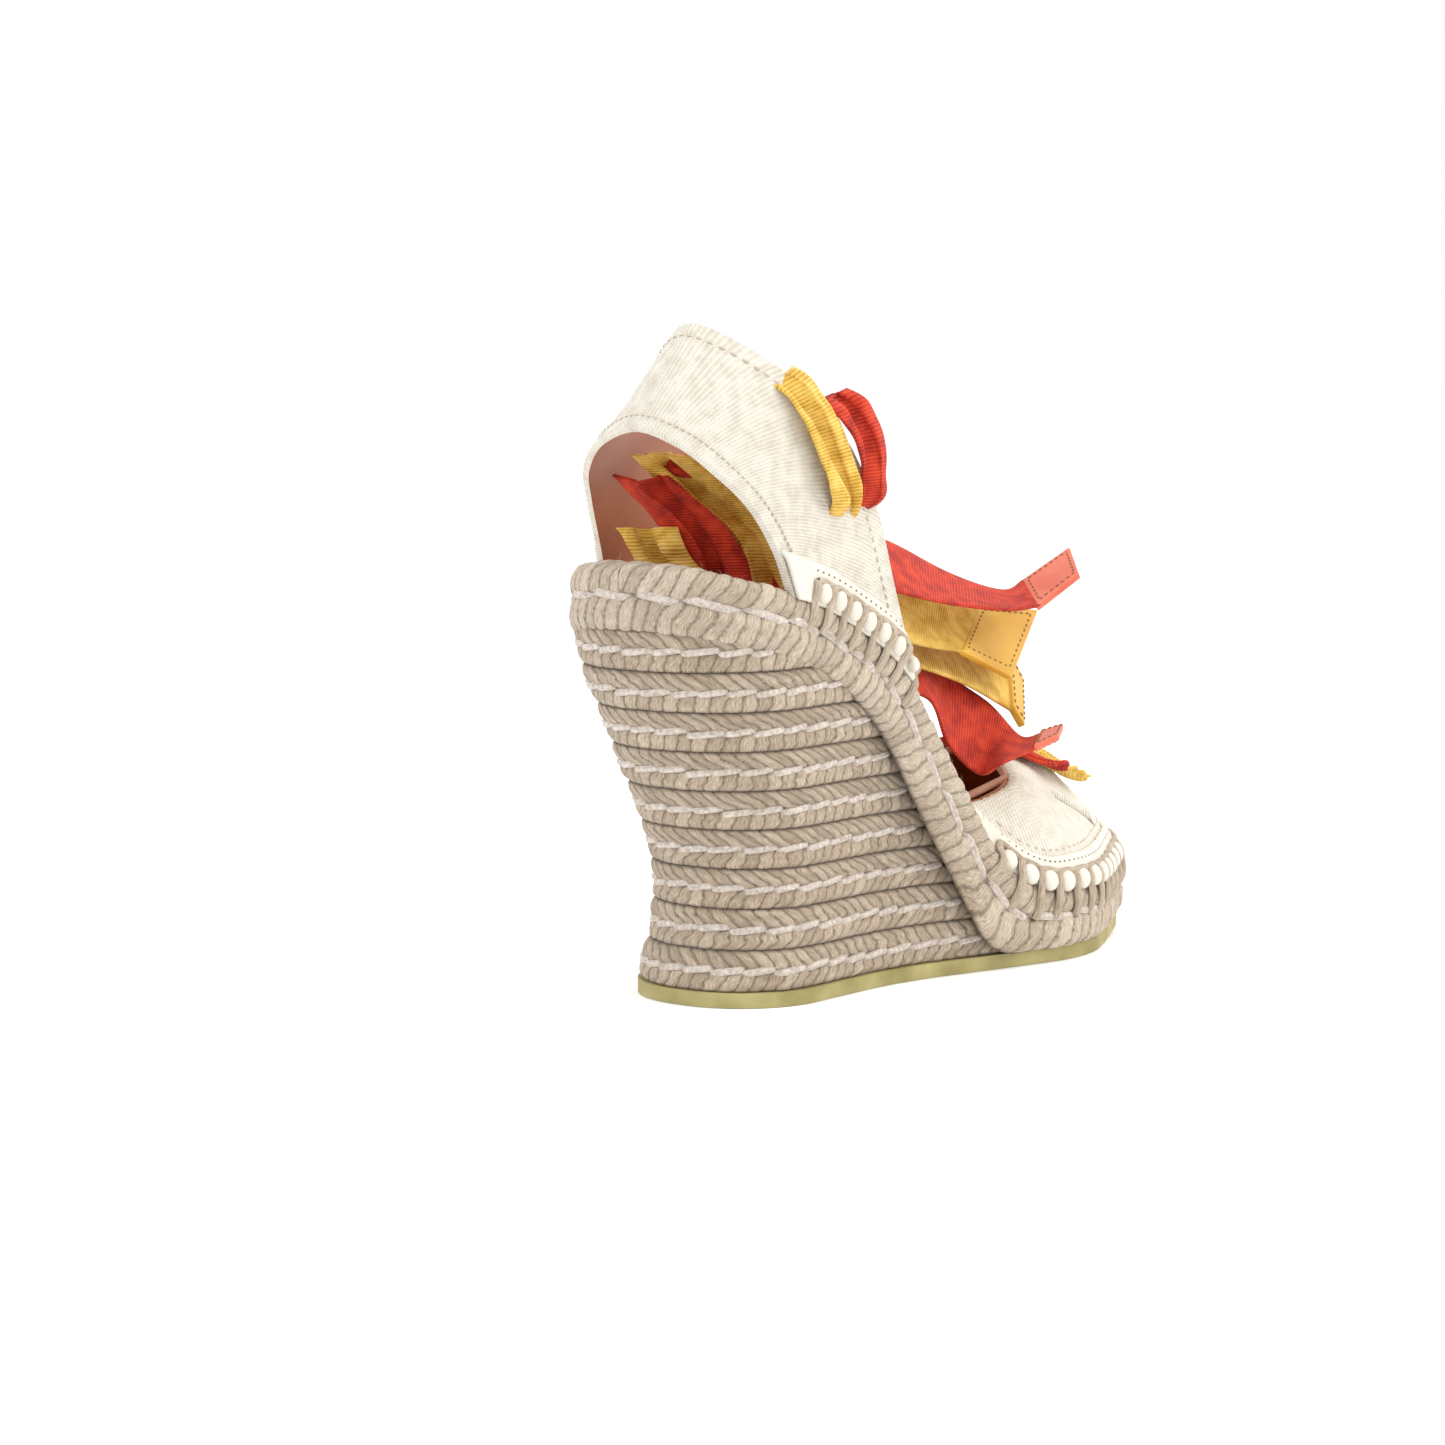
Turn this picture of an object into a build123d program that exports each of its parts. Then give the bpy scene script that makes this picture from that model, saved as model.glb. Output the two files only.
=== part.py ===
from build123d import *
from math import radians, tan
import os

# Wedge sandal for a right foot: a rubber outsole, a cork wedge wrapped in stitched jute braid, a jute
# platform band, a canvas toe vamp, a canvas heel strap and woven ribbon ties with leather tips.
# While building, X runs forwards from the rear of the rim, Y to the inner side of this right foot and Z up
# from the ground. Every part is moved back by ORIGIN_X when it is written, so that the origin lies on the
# ground in the middle plane of the heel. Lengths are in millimetres.

# Overall sizes
SHOE_LENGTH = 215.0  # rear of the rim to the toe, in plan
HEEL_RISE = 120.0  # ground to the top of the rim at the heel
HEEL_HALF_WIDTH = 33.8
BALL_OUTER_WIDTH = 42.7  # centre line to the rim on the outer side
BALL_INNER_WIDTH = 39.8
ORIGIN_X = 95.0

# Plan outline of the rim
WAIST_X = 88.0
WAIST_NARROWING = 1.3  # on each side, from the heel's half width
WAIST_RADIUS = 120.0
HEEL_FLAT = 2.4  # half of the straight across the rear
BALL_SETBACK = 57.0  # from the toe back to the widest corner
BALL_OUTER_RADIUS = 45.0
BALL_INNER_RADIUS = 60.0
TOE_OUTER_RADIUS = 28.0
TOE_INNER_RADIUS = 26.0

# Side line of the footbed: from the heel down the arch to the level forepart
HEEL_SEAT_DROP = 11.0
HEEL_SEAT_RADIUS = 90.0
ARCH_DROP = 29.0
ARCH_RADIUS = 60.0
BALL_RADIUS = 35.0
FOREPART_LENGTH = 86.7  # from the toe back to where the arch would meet the level
ARCH_LENGTH = 45.8
HEEL_SEAT_LENGTH = 36.5
TOE_SPRING = 3.8
TOE_SPRING_LENGTH = 37.0
TOE_SPRING_RADIUS = 120.0

# Outsole
OUTSOLE_THICKNESS = 4.0
OUTSOLE_MARGIN = 0.6  # how far the rubber stands out past the bottom braid

# Jute band round the footbed
BAND_DEPTH = 17.0  # square to the footbed
BAND_WALL = 10.0
BAND_SEAM_DEPTH = 7.6  # from the rim down to the lacing thread
BAND_THREAD = 2.2
THREAD_PROUD = 0.3

# Braid wrapped round the wedge
BRAID_ROWS = 9
BRAID_WALL = 9.0
BRAID_SWELL = 1.3  # how far a row bulges past its edges
BRAID_THREAD = 1.8
THREAD_SUNK = 0.2
WEDGE_INSET = 2.0  # the braid's toe end lies this far inside the band
HEEL_SETBACK = 29.0  # how far the back of the wedge is cut in below the rim
WEDGE_TAPER = 0.28  # how much the sides draw in for each millimetre of setback
# Share of the wedge's height, and share of the setback there
WEDGE_BACK_CURVE = [(0.0, 0.82), (0.06, 0.84), (0.13, 0.95), (0.26, 1.0), (0.39, 0.91), (0.49, 0.76),
                    (0.60, 0.57), (0.68, 0.44), (0.76, 0.31), (0.84, 0.15), (0.92, 0.05), (1.0, 0.0)]

# Footbed layers, from the top down
FOOTBED_RECESS = 3.0
SOCK_THICKNESS = 1.2
FOAM_THICKNESS = 2.5
BOARD_THICKNESS = 2.0

# Cloth and leather
CANVAS = 1.3
LINING = 0.9
RAND = 1.3
PLY_GAP = 0.05
RAND_HEIGHT = 9.0

# Heel strap: rear edge and front edge at each station from the outer foot to the back. Each point is its X
# from the arch corner, its distance in from the heel's half width, and its height from the heel's rim.
STRAP_STATIONS = [((-49.0, 0.6, -14.0), (6.5, 1.4, -44.0)), ((-52.1, 0.8, -6.0), (1.0, 1.2, -25.0)),
                  ((-56.3, 2.0, 5.0), (-5.5, 1.4, -6.5)), ((-63.0, 5.2, 16.0), (-13.5, 2.0, 15.0)),
                  ((-70.5, 10.6, 24.8), (-26.0, 5.4, 36.0)), ((-75.5, 19.8, 32.4), (-42.0, 14.4, 52.2))]
STRAP_BACK = ((-77.5, 36.2), (-53.3, 63.0))  # X and height where the strap crosses the middle
HINGE_BACK = 24.5  # from the arch corner: the canvas bends about a line across the shoe here
HINGE_DROP = 22.0  # below the heel's rim
HINGE_RADIUS = 36.0
HINGE_GAP = 0.4
SLOT_BACK = 27.5  # ribbon slots in the strap's legs, from the arch corner
SLOT_RISE = 21.0  # above the heel's rim
SLOT_LENGTH = 14.0
SLOT_WIDTH = 4.0
SLOT_TILT = 118.0

# Vamp
VAMP_INSET = 2.4  # from the rim's edge to the canvas
VAMP_REAR = 114.0  # from the toe back to the end of the loft, behind the throat
# Height above the forepart's rim, inset at the toe, and inset at the sides
VAMP_PROFILE = [(-3.0, 0.0, 0.0), (7.0, 1.8, 1.2), (12.0, 5.0, 3.5), (18.0, 10.5, 7.0), (24.0, 18.0, 11.0),
                (30.0, 26.0, 15.0), (34.0, 35.0, 20.5), (36.5, 45.0, 27.0), (38.0, 54.0, 32.5)]
VAMP_TOE_SHARPENING = 1.35  # its toe corners tighten this much faster than its width narrows
# The rear edge in side view: distance back from the toe, and height above the forepart's rim
THROAT = [(112.0, 25.2), (95.0, 25.4), (82.0, 27.0), (70.0, 30.0), (59.0, 34.0), (51.0, 38.5), (47.0, 47.0)]
VAMP_SLOT_LENGTH = 22.0
VAMP_SLOT_WIDTH = 2.6
VAMP_SLOT_TOE = 36.0  # from the toe back to the slots' middle
VAMP_SLOT_Y = 23.0

# Ribbon ties
RIBBON_THICKNESS = 1.0
TIP_THICKNESS = 2.4
TIP_GAP = 0.6  # from a ribbon's end to its leather tip
RIBBON_CLEARANCE = 2.2  # from the strap to the middle of a ribbon that lies on it
VAMP_RIBBON_CLEARANCE = 3.4
CRUMPLED_HALF_WIDTH = 4.5
# Upper and lower edge of each tail; the last two pairs are the two ends of its tip. X is from the arch
# corner, Y from the middle and Z from the forepart's rim.
TAILS = {
    "tail_upper_red": [((-2, -10, 106), (-12, -24, 92)), ((19, -12, 100), (3, -27, 88)),
                       ((44, -14, 91), (23, -30, 84)), ((64, -20, 85), (46, -34, 81)),
                       ((73, -22, 87), (60, -36, 81)), ((93, -24, 95), (77, -38, 89))],
    "tail_upper_yellow": [((2, -10, 95), (-6, -24, 80)), ((22, -12, 92), (12, -24, 74)),
                          ((45, -13, 84), (24, -25, 71)), ((62, -14, 79), (36, -26, 69)),
                          ((86, -17, 77), (58, -27, 60))],
    "tail_lower_yellow": [((6, -8, 83), (2, -22, 69)), ((31, -8, 80), (21, -20, 66)),
                          ((57, -10, 71), (43, -22, 59)), ((78, -13, 64), (64, -24, 50)),
                          ((84, -13, 57), (67.5, -25, 45))],
    "tail_lower_red": [((14, -8, 75), (10, -20, 60)), ((33, -10, 72), (26, -22, 56)),
                       ((45, -14, 61), (32, -24, 43)), ((58, -20, 52), (42, -28, 34)),
                       ((62, -28, 43.5), (42, -36, 38)), ((71, -30, 43.5), (56, -38, 41)),
                       ((80, -31, 44.5), (67, -38, 43))],
}
# Middle line of each crumpled stretch inside the heel strap
BUNDLE = {
    "bundle_red_arc": [(-48, 8, 125), (-36, 0, 121), (-28, -8, 111), (-26, -15, 99), (-25, -17, 87)],
    "bundle_yellow_arc": [(-52, 11, 127), (-46, 5, 119), (-40, 0, 111), (-36, -7, 101), (-34, -9, 90)],
    "bundle_red_knot": [(-59, 13, 120), (-52, 9, 114), (-47, 4, 107), (-44, -1, 98), (-42, -4, 90)],
    "bundle_yellow_fold": [(-57, 12, 107), (-56, 9, 101), (-53, 6, 95), (-49, 3, 92)],
}
BUNDLE_TURN = (0.63, -0.78, 0.0)  # direction across every crumpled stretch
# Station, share of the strap's width from its rear edge, for each loop over the strap's front edge
STRAP_LOOPS = {"loop_yellow": [(2.8, 0.70), (3.3, 0.74), (3.8, 0.80), (4.3, 0.88), (4.8, 0.97)],
               "loop_red": [(2.9, 0.90), (3.3, 1.03), (3.8, 1.10), (4.3, 1.12)]}
# Front and rear edge of the ribbon across the vamp: distance back from the toe, and Y
VAMP_RIBBON = [((26.0, -20.0), (46.0, -22.0)), ((31.0, -16.0), (53.0, -17.0)), ((38.0, -9.0), (58.0, -9.0)),
               ((40.0, 0.0), (60.0, 0.0))]

WIDE = 120.0  # reaches past the shoe's sides
TALL = 260.0  # reaches past its top

WEDGE_TOP = HEEL_RISE - BAND_DEPTH
BRAID_PITCH = (WEDGE_TOP - OUTSOLE_THICKNESS) / BRAID_ROWS
FOREPART_RISE = OUTSOLE_THICKNESS + BAND_DEPTH
BALL_X = SHOE_LENGTH - FOREPART_LENGTH
ARCH_X = BALL_X - ARCH_LENGTH
HEEL_SEAT_X = ARCH_X - HEEL_SEAT_LENGTH
TOE_BREAK_X = SHOE_LENGTH - TOE_SPRING_LENGTH


def read_off(table, x):
    """Straight-line reading of a table of (x, value) pairs."""
    for (x0, v0), (x1, v1) in zip(table, table[1:]):
        if x <= x1:
            return v0 + (v1 - v0) * max(0.0, x - x0) / (x1 - x0)
    return table[-1][1]


# ---------------------------------------------------------------- outlines

def left_of(run):
    return Vector(-run.Y, run.X)


def rounded(corners, shift, closed=False):
    """Lines and arcs along (x, y, radius) corners, the whole moved to its left by shift, in the XY plane."""
    count = len(corners)
    points = [Vector(x, y) for x, y, radius in corners]
    runs = [(points[(k + 1) % count] - points[k]).normalized() for k in range(count if closed else count - 1)]
    edges = []
    last = None if closed else points[0] + left_of(runs[0]) * shift
    first = last
    for k in range(count) if closed else range(1, count - 1):
        before = runs[k - 1]
        after = runs[k % len(runs)]
        side = left_of(before) + left_of(after)
        corner = points[k] + side * (shift / (1 + before.dot(after)))
        turn = before.cross(after).Z
        radius = corners[k][2] - shift * (1 if turn > 0 else -1) if corners[k][2] > 0 else 0.0
        reach = radius * tan(radians(before.get_angle(after)) / 2)
        start = corner - before * reach
        end = corner + after * reach
        if last is not None and (start - last).length > 1e-6:
            edges.append(Line(last, start))
        if radius > 0:
            centre = start + left_of(before) * (radius if turn > 0 else -radius)
            middle = centre + (corner - centre).normalized() * radius
            edges.append(ThreePointArc(start, middle, end))
        first = start if first is None else first
        last = end
    if closed:
        edges.append(Line(last, first))
    else:
        edges.append(Line(last, points[-1] + left_of(runs[-1]) * shift))
    return edges


def plan_wire(rear, heel, outer, inner, toe, inset=0.0, z=0.0):
    """Closed outline of a right sole: rounded heel, narrow waist, wide ball, and a toe that leans inwards."""
    waist = heel - WAIST_NARROWING
    heel_radius = heel - HEEL_FLAT
    corners = [(rear, -heel, heel_radius),
               (WAIST_X, -waist, WAIST_RADIUS),
               (toe - BALL_SETBACK, -1.06 * outer, BALL_OUTER_RADIUS),
               (toe - 2, -0.48 * outer, TOE_OUTER_RADIUS),
               (toe + 0.5, 0.63 * inner, TOE_INNER_RADIUS),
               (toe - BALL_SETBACK + 5, 1.04 * inner, BALL_INNER_RADIUS),
               (WAIST_X + 2, waist, WAIST_RADIUS),
               (rear, heel, heel_radius)]
    return Pos(0, 0, z) * Wire(rounded(corners, inset, closed=True))


def rim_wire(inset=0.0, z=0.0):
    return plan_wire(0.0, HEEL_HALF_WIDTH, BALL_OUTER_WIDTH, BALL_INNER_WIDTH, SHOE_LENGTH, inset, z)


def setback_at(z):
    share = (z - OUTSOLE_THICKNESS) / (WEDGE_TOP - OUTSOLE_THICKNESS)
    return HEEL_SETBACK * read_off(WEDGE_BACK_CURVE, share)


def wedge_wire(z, inset=0.0):
    """Outline of the braided wedge at height z."""
    back = setback_at(z)
    heel = HEEL_HALF_WIDTH - WEDGE_TAPER * back
    return plan_wire(back, heel, BALL_OUTER_WIDTH - WEDGE_INSET, BALL_INNER_WIDTH - WEDGE_INSET,
                     SHOE_LENGTH - WEDGE_INSET, inset, z)


def footbed_corners():
    """The rim's top edge in side view, from behind the heel to past the toe."""
    seat_slope = HEEL_SEAT_DROP / HEEL_SEAT_X
    spring_slope = TOE_SPRING / TOE_SPRING_LENGTH
    past = 15.0
    return [(-past, HEEL_RISE + past * seat_slope, 0),
            (HEEL_SEAT_X, HEEL_RISE - HEEL_SEAT_DROP, HEEL_SEAT_RADIUS),
            (ARCH_X, HEEL_RISE - ARCH_DROP, ARCH_RADIUS),
            (BALL_X, FOREPART_RISE, BALL_RADIUS),
            (TOE_BREAK_X, FOREPART_RISE, TOE_SPRING_RADIUS),
            (SHOE_LENGTH + past, FOREPART_RISE + (TOE_SPRING_LENGTH + past) * spring_slope, 0)]


def sole_corners():
    """The forepart's line carried back level under the whole shoe."""
    return [(-30.0, FOREPART_RISE, 0)] + footbed_corners()[-2:]


def across(outline):
    """A slab across the whole shoe from a closed outline drawn in XY and stood up in XZ."""
    stood = Rot(90, 0, 0) * Face(Wire(outline))
    return extrude(stood, WIDE, dir=(0, 1, 0), both=True)


def slab(corners, upper, lower):
    """The layer between two heights, measured square to a side line; depths are negative."""
    top = rounded(corners, upper)
    bottom = rounded(corners, lower)
    ends = [Line(top[-1] @ 1, bottom[-1] @ 1), Line(bottom[0] @ 0, top[0] @ 0)]
    return across(top + bottom + ends)


def above(corners, height):
    line = rounded(corners, height)
    start = line[0] @ 0
    end = line[-1] @ 1
    box = Polyline(end, (end.X, TALL), (start.X, TALL), start)
    return across(line + box.edges())


def prism(wire):
    """Straight up from below the shoe to above it."""
    return Pos(0, 0, -10) * extrude(Face(wire), TALL, dir=(0, 0, 1))


# ---------------------------------------------------------------- sole

def outsole():
    back = setback_at(OUTSOLE_THICKNESS) - OUTSOLE_MARGIN
    heel = HEEL_HALF_WIDTH - WEDGE_TAPER * back + OUTSOLE_MARGIN
    wire = plan_wire(back, heel, BALL_OUTER_WIDTH - OUTSOLE_MARGIN, BALL_INNER_WIDTH - OUTSOLE_MARGIN,
                     SHOE_LENGTH - OUTSOLE_MARGIN)
    return prism(wire) & slab(sole_corners(), -BAND_DEPTH, -FOREPART_RISE)


def row_base(row):
    return OUTSOLE_THICKNESS + row * BRAID_PITCH


def wedge_zone():
    """The space under the band and over the level outsole, from the heel to where the two meet."""
    under = rounded(footbed_corners()[:-1], -BAND_DEPTH)[:-1]
    rear = under[0] @ 0
    floor = Polyline(under[-1] @ 1, (rear.X, OUTSOLE_THICKNESS), rear)
    return across(under + floor.edges())


def wedge_core():
    """The cork block inside the braid."""
    sections = [Face(wedge_wire(row_base(row), BRAID_WALL)) for row in range(BRAID_ROWS + 1)]
    return loft(sections, ruled=True)


def braid_row(row, zone):
    """One turn of braid, with two swelling strands, and the thread that lies between them."""
    insets = [BRAID_SWELL, 0.0, 0.7 * BRAID_SWELL, 0.0, BRAID_SWELL]
    heights = [row_base(row) + k * BRAID_PITCH / (len(insets) - 1) for k in range(len(insets))]
    outer = loft([Face(wedge_wire(z, inset)) for z, inset in zip(heights, insets)], ruled=True)
    inner = loft([Face(wedge_wire(row_base(k), BRAID_WALL)) for k in (row, row + 1)], ruled=True)
    middle = heights[2]
    hoop = Face(wedge_wire(middle, THREAD_SUNK)) - Face(wedge_wire(middle, THREAD_SUNK + BRAID_THREAD))
    thread = Pos(0, 0, -BRAID_THREAD / 2) * extrude(hoop, BRAID_THREAD, dir=(0, 0, 1))
    return (outer - inner - thread) & zone, thread & zone


def footbed_layers():
    """Sock, foam, board and filler, from the top down, inside the band."""
    inside = prism(rim_wire(BAND_WALL))
    depth = FOOTBED_RECESS
    solids = []
    for thickness in (SOCK_THICKNESS, FOAM_THICKNESS, BOARD_THICKNESS):
        solids.append(inside & slab(footbed_corners(), -depth, -depth - thickness))
        depth += thickness
    solids.append(inside & slab(footbed_corners(), -depth, -BAND_DEPTH))
    return solids


def platform_band():
    """Upper strand, lower strand and the thread that laces them, round the whole footbed."""
    wall = prism(rim_wire()) - prism(rim_wire(BAND_WALL))
    seam = prism(rim_wire(-THREAD_PROUD)) - prism(rim_wire(BAND_THREAD - THREAD_PROUD))
    half = BAND_THREAD / 2
    thread = seam & slab(footbed_corners(), half - BAND_SEAM_DEPTH, -half - BAND_SEAM_DEPTH)
    upper = (wall & slab(footbed_corners(), 0.0, -BAND_SEAM_DEPTH)) - thread
    lower = (wall & slab(footbed_corners(), -BAND_SEAM_DEPTH, -BAND_DEPTH)) - thread
    return upper, lower, thread


# ---------------------------------------------------------------- heel strap

def strap_point(x, inset, height, side):
    return Vector(ARCH_X + x, side * (HEEL_HALF_WIDTH - inset), HEEL_RISE + height)


def strap_stations():
    """Rear and front edge points, from the outer foot round the back to the inner foot."""
    legs = [[(strap_point(*rear, side), strap_point(*front, side)) for rear, front in STRAP_STATIONS]
            for side in (-1, 1)]
    back = [tuple(Vector(ARCH_X + x, 0, HEEL_RISE + height) for x, height in STRAP_BACK)]
    return legs[0] + back + legs[1][::-1]


def strap_ply(outside, inside):
    """A layer of the strap between two distances out from its surface."""
    stations = strap_stations()
    sections = []
    for k, (rear, front) in enumerate(stations):
        before = stations[max(k - 1, 0)]
        after = stations[min(k + 1, len(stations) - 1)]
        run = (after[0] + after[1]) - (before[0] + before[1])
        out = (front - rear).cross(run).normalized()
        corners = [rear + out * outside, front + out * outside, front + out * inside, rear + out * inside]
        sections.append(Face(Wire(Polyline(*corners, close=True))))
    return loft(sections)


def hinge_drum(radius):
    return Pos(ARCH_X - HINGE_BACK, 0, HEEL_RISE - HINGE_DROP) * Rot(90, 0, 0) * Cylinder(radius, 2 * WIDE)


def strap_slots():
    plane = Plane(origin=(ARCH_X - SLOT_BACK, 0, HEEL_RISE + SLOT_RISE), x_dir=(1, 0, 0), z_dir=(0, -1, 0))
    return extrude(plane * (Rot(0, 0, SLOT_TILT) * SlotOverall(SLOT_LENGTH, SLOT_WIDTH)), WIDE, both=True)


def half_of(part, side):
    return part & (Pos(0, side * WIDE / 2, 0) * Box(4 * WIDE, WIDE, 2 * TALL))


def strap_parts():
    """Canvas and lining, each cut where the legs bend, and the leather strips along the feet."""
    over_rim = above(footbed_corners(), 0.0)
    lining_face = -CANVAS - PLY_GAP
    plies = {"canvas": strap_ply(0, -CANVAS), "lining": strap_ply(lining_face, lining_face - LINING)}
    strip = slab(footbed_corners(), RAND_HEIGHT, 0.0)
    rand = strap_ply(RAND + PLY_GAP, PLY_GAP) & strip & hinge_drum(HINGE_RADIUS - HINGE_GAP)
    parts = {}
    for name, ply in plies.items():
        ply = ply & over_rim
        parts["heel_strap_" + name] = ply - hinge_drum(HINGE_RADIUS + HINGE_GAP) - strap_slots()
        foot = ply & hinge_drum(HINGE_RADIUS)
        parts["outer_foot_" + name] = half_of(foot, -1)
        parts["inner_foot_" + name] = half_of(foot, 1)
    parts["outer_foot_rand"] = half_of(rand, -1)
    parts["inner_foot_rand"] = half_of(rand, 1)
    return parts


# ---------------------------------------------------------------- vamp

def vamp_section(height, toe_inset, side_inset, shrink):
    """A level slice of the toe box, from behind its throat to the toe."""
    toe = SHOE_LENGTH - VAMP_INSET - toe_inset - shrink
    rear = SHOE_LENGTH - VAMP_REAR
    outer = BALL_OUTER_WIDTH - VAMP_INSET - side_inset - shrink
    inner = BALL_INNER_WIDTH - VAMP_INSET - side_inset - shrink
    waist = (HEEL_HALF_WIDTH - WAIST_NARROWING) / BALL_OUTER_WIDTH
    run = toe - rear
    scale = outer / BALL_OUTER_WIDTH
    toe_scale = scale ** VAMP_TOE_SHARPENING
    corners = [(rear, -waist * 1.06 * outer, 0), (rear + 0.5 * run, -1.06 * outer, BALL_OUTER_RADIUS * scale),
               (toe - 2 * scale, -0.48 * outer, TOE_OUTER_RADIUS * toe_scale),
               (toe, 0.63 * inner, TOE_INNER_RADIUS * toe_scale),
               (rear + 0.55 * run, 1.04 * inner, BALL_INNER_RADIUS * scale), (rear, waist * 1.1 * inner, 0)]
    wire = Wire(rounded(corners, 0.0, closed=True))
    return Pos(0, 0, FOREPART_RISE + height - (shrink if height > 0 else 0)) * Face(wire)


def vamp_block(shrink):
    return loft([vamp_section(*row, shrink) for row in VAMP_PROFILE])


def behind_throat():
    """Everything behind the vamp's rear edge."""
    line = Spline(*[(SHOE_LENGTH - back, FOREPART_RISE + height) for back, height in THROAT])
    start = line @ 0
    end = line @ 1
    box = Polyline(end, (end.X, TALL), (-WIDE, TALL), (-WIDE, start.Y), start)
    return across([line] + box.edges())


def vamp_slots():
    """One slot on each side, where the ribbon over the toes passes through the vamp."""
    slot = SlotOverall(VAMP_SLOT_LENGTH, VAMP_SLOT_WIDTH)
    foot = FOREPART_RISE + RAND_HEIGHT
    return [extrude(Pos(SHOE_LENGTH - VAMP_SLOT_TOE, side * VAMP_SLOT_Y, foot) * slot, TALL, dir=(0, 0, 1))
            for side in (-1, 1)]


def vamp_parts():
    over_rim = above(footbed_corners(), 0.0) - behind_throat()
    blocks = [vamp_block(shrink) for shrink in (-RAND - PLY_GAP, -PLY_GAP, 0, CANVAS, CANVAS + PLY_GAP,
                                                CANVAS + PLY_GAP + LINING)]
    rand = (blocks[0] - blocks[1]) & slab(footbed_corners(), RAND_HEIGHT, 0.0) & over_rim
    canvas = ((blocks[2] - blocks[3]) & over_rim) - vamp_slots()
    lining = ((blocks[4] - blocks[5]) & over_rim) - vamp_slots()
    return {"vamp_canvas": canvas, "vamp_lining": lining, "toe_rand": rand}


# ---------------------------------------------------------------- ribbons

def ribbon(edges, thickness=RIBBON_THICKNESS):
    """A flat band through pairs of edge points."""
    middles = [(upper + lower) / 2 for upper, lower in edges]
    sections = []
    for k, (upper, lower) in enumerate(edges):
        run = middles[min(k + 1, len(edges) - 1)] - middles[max(k - 1, 0)]
        out = run.cross(upper - lower).normalized() * (thickness / 2)
        corners = [upper + out, lower + out, lower - out, upper - out]
        sections.append(Face(Wire(Polyline(*corners, close=True))))
    return loft(sections, ruled=True)


def placed(x, y, z):
    return Vector(ARCH_X + x, y, FOREPART_RISE + z)


def tail(pairs):
    """A hanging ribbon end and its leather tip."""
    edges = [(placed(*upper), placed(*lower)) for upper, lower in pairs]
    end, tip_end = edges[-2:]
    along = ((tip_end[0] + tip_end[1]) - (end[0] + end[1])).normalized() * TIP_GAP
    tip_start = (end[0] + along, end[1] + along)
    return ribbon(edges[:-1]), ribbon([tip_start, tip_end], TIP_THICKNESS)


def bundle(points):
    half = Vector(*BUNDLE_TURN) * CRUMPLED_HALF_WIDTH
    return ribbon([(placed(*point) + half, placed(*point) - half) for point in points])


def strap_loop(route, side):
    """A crumpled stretch lying on the outside of the strap."""
    stations = strap_stations()
    edges = []
    for place, share in route:
        k = int(place)
        rear, front = [a + (b - a) * (place - k) for a, b in zip(stations[k], stations[k + 1])]
        run = (stations[k + 1][0] + stations[k + 1][1]) - (stations[k][0] + stations[k][1])
        width = (front - rear).normalized()
        out = width.cross(run).normalized() * RIBBON_CLEARANCE
        middle = rear + (front - rear) * share + out
        pair = [middle + width * CRUMPLED_HALF_WIDTH, middle - width * CRUMPLED_HALF_WIDTH]
        edges.append([Vector(p.X, -side * p.Y, p.Z) for p in pair])
    return ribbon(edges)


def vamp_ribbon():
    """The ribbon from slot to slot over the toes."""
    block = vamp_block(0)
    mirrored = [((front[0], -front[1]), (rear[0], -rear[1])) for front, rear in VAMP_RIBBON[-2::-1]]
    sides = VAMP_RIBBON + mirrored
    edges = []
    for pair in sides:
        upright = [Axis((SHOE_LENGTH - back, y, 0), (0, 0, 1)) for back, y in pair]
        tops = [max(point.Z for point, normal in block.find_intersection_points(axis)) for axis in upright]
        heights = [top + VAMP_RIBBON_CLEARANCE for top in tops]
        edges.append([Vector(SHOE_LENGTH - back, y, height) for (back, y), height in zip(pair, heights)])
    return ribbon(edges)


def ribbons():
    parts = {"vamp_ribbon": vamp_ribbon()}
    for name, pairs in TAILS.items():
        parts[name], parts[name + "_tip"] = tail(pairs)
    for name, points in BUNDLE.items():
        parts[name] = bundle(points)
    for name, route in STRAP_LOOPS.items():
        parts["outer_" + name] = strap_loop(route, -1)
        parts["inner_" + name] = strap_loop(route, 1)
    return parts


def write(name, part):
    moved = Pos(-ORIGIN_X, 0, 0) * Compound(children=list(part.solids()))
    export_step(moved, f"parts/{name}.step")


def main():
    os.makedirs("parts", exist_ok=True)
    zone = wedge_zone()
    write("rubber_outsole", outsole())
    write("wedge_core", wedge_core() & zone)
    for row in range(BRAID_ROWS):
        braid, thread = braid_row(row, zone)
        write(f"braid_row_{row + 1}", braid)
        write(f"braid_thread_{row + 1}", thread)
    for name, part in zip(("band_upper_strand", "band_lower_strand", "band_thread"), platform_band()):
        write(name, part)
    layer_names = ("sock_lining", "footbed_foam", "insole_board", "platform_filler")
    for name, part in zip(layer_names, footbed_layers()):
        write(name, part)
    for name, part in {**strap_parts(), **vamp_parts(), **ribbons()}.items():
        write(name, part)


main()
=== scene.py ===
import bisect
import functools
import math
import random

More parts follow.
